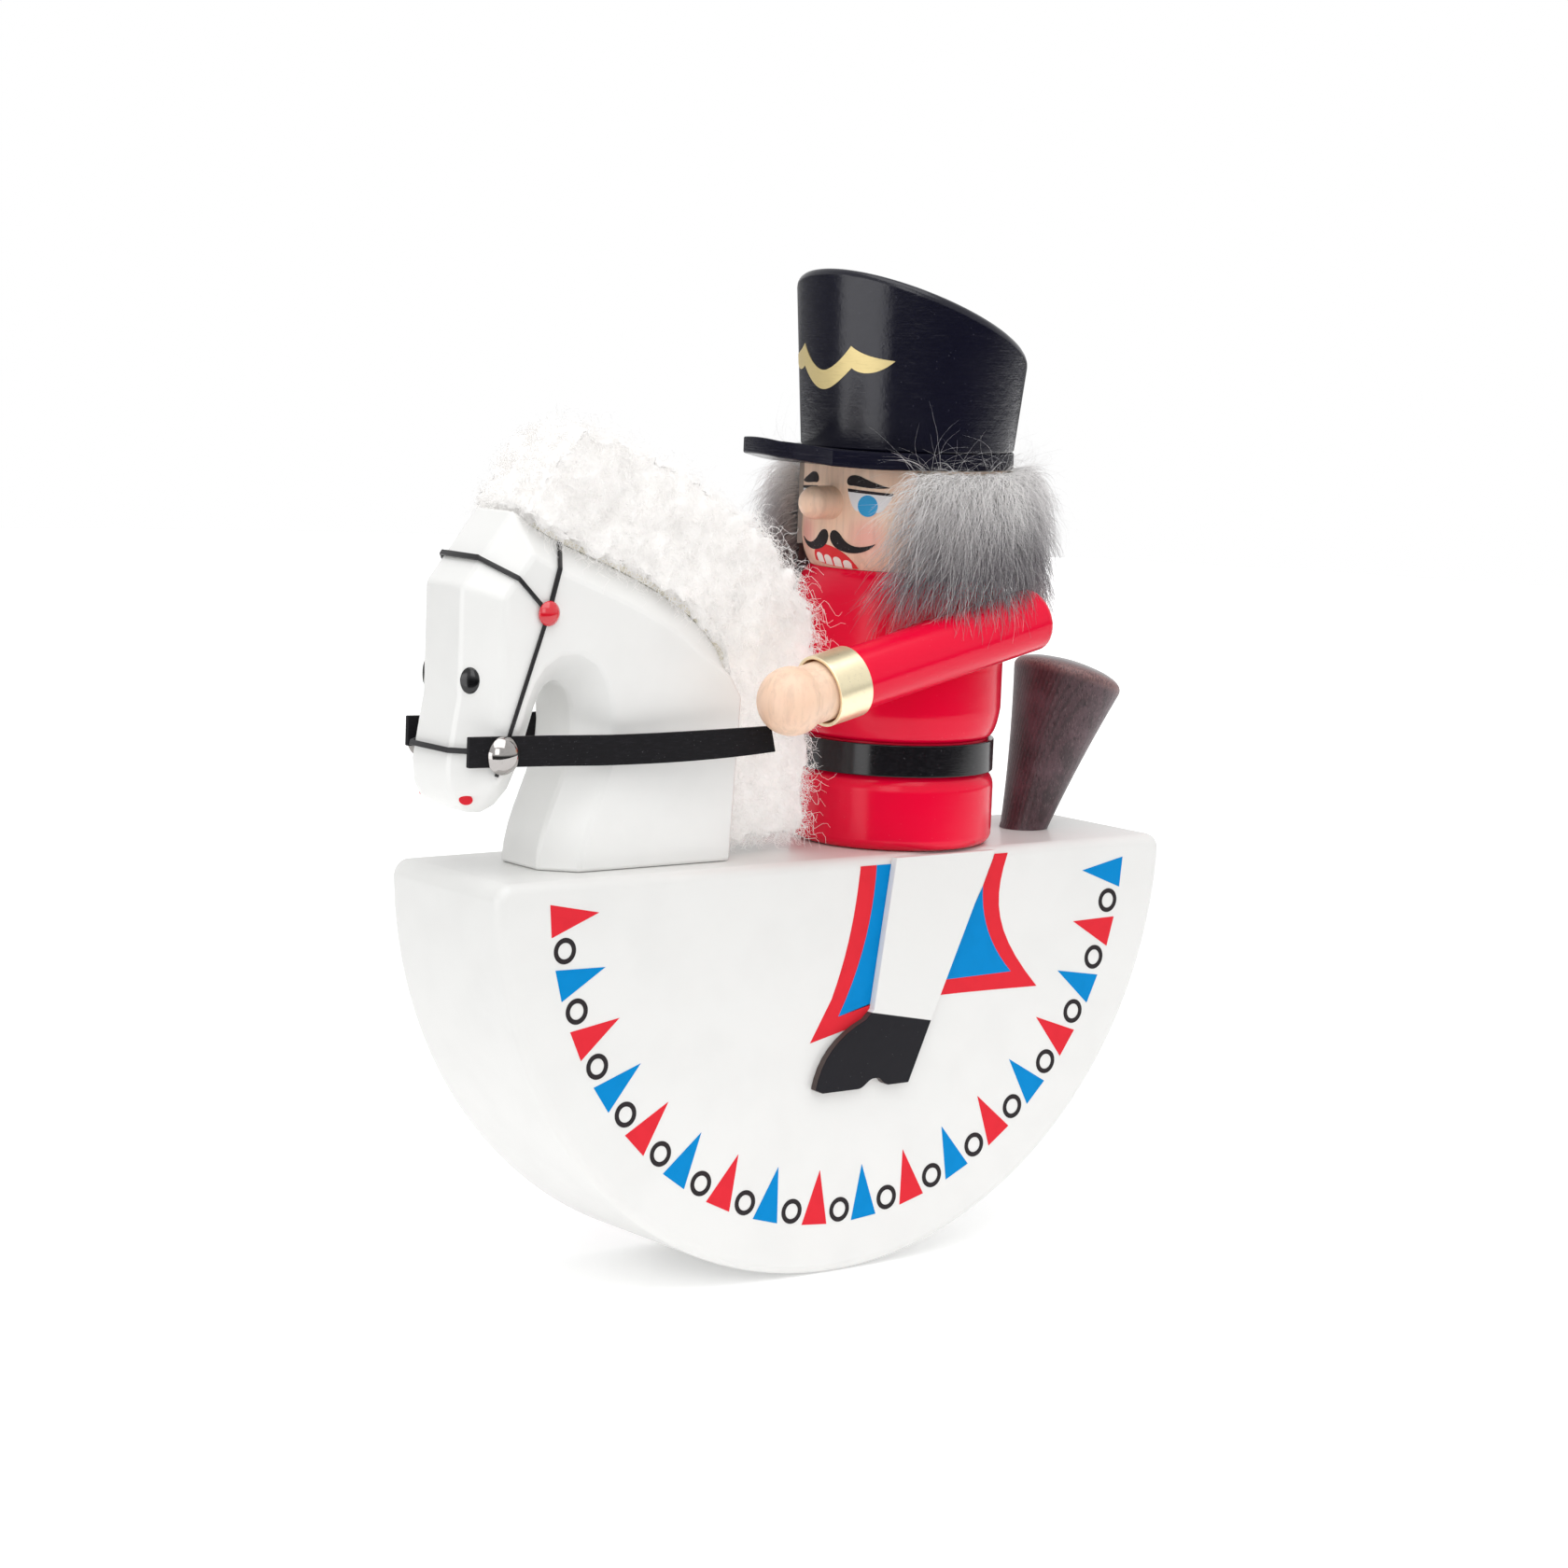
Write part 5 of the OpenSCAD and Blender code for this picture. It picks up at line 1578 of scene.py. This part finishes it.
class TOY_OT_stage(bpy.types.Operator):
    """Pale floor, soft studio light and the camera"""
    bl_idname = "toy.stage"
    bl_label = "Stage"

    def execute(self, context):
        scene = context.scene
        self.camera(scene)
        form = bmesh.new()       # in metres, and further behind the toy than before it
        bmesh.ops.create_circle(form, cap_ends=True, radius=0.85, segments=96,
                                matrix=Matrix.Translation((0.386, 0.46, 0)))
        mesh = bpy.data.meshes.new("floor")
        form.to_mesh(mesh)
        form.free()
        floor = bpy.data.objects.new("floor", mesh)
        scene.collection.objects.link(floor)
        paper = Paint("floor_paper", (0.92, 0.92, 0.92, 1), 0.9, **{
            "Emission Strength": 0.55, "Specular IOR Level": 0.1})
        paper.tint(paper.noise(paper.place(), 0.02, 2.0) * 0.05, (0.9, 0.9, 0.9, 1))
        # The floor paper glows: less near the toy, so that the toy's shadow shows, and fully
        # further out, where the glow stands in for light and keeps the floor white.
        paper.feed("Emission Color", 0.42 + 0.58 * paper.distance(paper.place()).step(250, 1500))
        mesh.materials.append(paper.material)
        scene.world = self.studio()
        target = (0, 0, 0.07)
        soft_light("top_softbox", (-0.22, -0.38, 1.3), target, (1.3, 1.3), 9.3)
        soft_light("front_softbox", (-0.9, -1.0, 0.6), target, (0.55, 0.8), 2.5)
        shine = soft_light("side_softbox", (-0.85, 0.03, -0.02), (0, 0, 0.1), (0.8, 0.6), 3.0)
        shine.visible_diffuse = False
        scene.view_settings.view_transform = "Standard"
        return {"FINISHED"}

    @staticmethod
    def studio():
        """White to the camera; as light, bright behind the toy and dark below the table."""
        world = bpy.data.worlds.new("studio")
        world.use_nodes = True
        tree = world.node_tree
        tree.nodes.clear()

        def node(*parts):
            return add_node(tree, *parts)
        towards = node("ShaderNodeTexCoord").outputs["Generated"]
        back = node("ShaderNodeVectorMath", {"operation": "DOT_PRODUCT"},
                    {0: towards, 1: (0.643, 0.766, 0.15)}).outputs["Value"]
        height = node("ShaderNodeSeparateXYZ", None, {0: towards}).outputs[2]
        wall = node("ShaderNodeMapRange", {"interpolation_type": "SMOOTHSTEP"}, {
            "Value": back, "From Min": -0.3, "From Max": 0.8, "To Min": 0.78,
            "To Max": 0.86}).outputs[0]
        over_floor = node("ShaderNodeMapRange", {"interpolation_type": "SMOOTHSTEP"}, {
            "Value": height, "From Min": -0.1, "From Max": 0.1, "To Min": 0.06,
            "To Max": 1.0}).outputs[0]
        strength = node("ShaderNodeMath", {"operation": "MULTIPLY"},
                        {0: wall, 1: over_floor}).outputs[0]
        lit, seen = (node("ShaderNodeBackground", None, {0: (1, 1, 1, 1), 1: power}).outputs[0]
                     for power in (strength, 1.0))
        ray = node("ShaderNodeLightPath").outputs["Is Camera Ray"]
        mix = node("ShaderNodeMixShader", None, {0: ray, 1: lit, 2: seen}).outputs[0]
        node("ShaderNodeOutputWorld", None, {"Surface": mix})
        return world

    @staticmethod
    def camera(scene):
        azimuth, height, roll = (math.radians(a) for a in
                                 (CAMERA_AZIMUTH, CAMERA_HEIGHT, CAMERA_ROLL))
        back = Vector((math.sin(azimuth) * math.cos(height),
                       -math.cos(azimuth) * math.cos(height), math.sin(height)))
        level = Vector((math.cos(azimuth), math.sin(azimuth), 0))
        up = back.cross(level)
        right = level * math.cos(roll) - up * math.sin(roll)
        upright = level * math.sin(roll) + up * math.cos(roll)
        lens = bpy.data.cameras.new("product_camera")
        lens.lens, lens.sensor_width, lens.clip_start = CAMERA_LENS, 36.0, 0.01
        camera = bpy.data.objects.new("product_camera", lens)
        scene.collection.objects.link(camera)
        turn = Matrix((right, upright, back)).transposed().to_4x4()
        camera.matrix_world = Matrix.Translation(Vector(CAMERA_AT) * MM) @ turn
        scene.camera = camera


class TOY_PT_builder(bpy.types.Panel):
    """Lists the toy's pieces, and its sizes and colours"""
    bl_idname = "TOY_PT_builder"
    bl_label = "Rocking rider toy"
    bl_space_type = "VIEW_3D"
    bl_region_type = "UI"
    bl_category = "Rider toy"

    def draw(self, context):
        for operator in OPERATORS:
            self.layout.operator(operator.bl_idname)
        for group in (context.scene.toy_sizes, context.scene.toy_tones):
            box = self.layout.box()
            for key in group.__annotations__:
                box.prop(group, key)


OPERATORS = (TOY_OT_stage, TOY_OT_rocker, TOY_OT_horse, TOY_OT_bridle, TOY_OT_mane,
             TOY_OT_rider_body, TOY_OT_head, TOY_OT_hair, TOY_OT_hat, TOY_OT_arms,
             TOY_OT_legs, TOY_OT_tail, TOY_OT_inside)
CLASSES = (ToySizes, ToyTones, *OPERATORS, TOY_PT_builder)


def register():
    for cls in CLASSES:
        bpy.utils.register_class(cls)
    bpy.types.Scene.toy_sizes = bpy.props.PointerProperty(type=ToySizes)
    bpy.types.Scene.toy_tones = bpy.props.PointerProperty(type=ToyTones)


def unregister():
    del bpy.types.Scene.toy_tones
    del bpy.types.Scene.toy_sizes
    for cls in reversed(CLASSES):
        bpy.utils.unregister_class(cls)


def main():
    register()
    for operator in OPERATORS:
        group, name = operator.bl_idname.split(".")
        getattr(getattr(bpy.ops, group), name)()


if __name__ == "__main__":
    main()
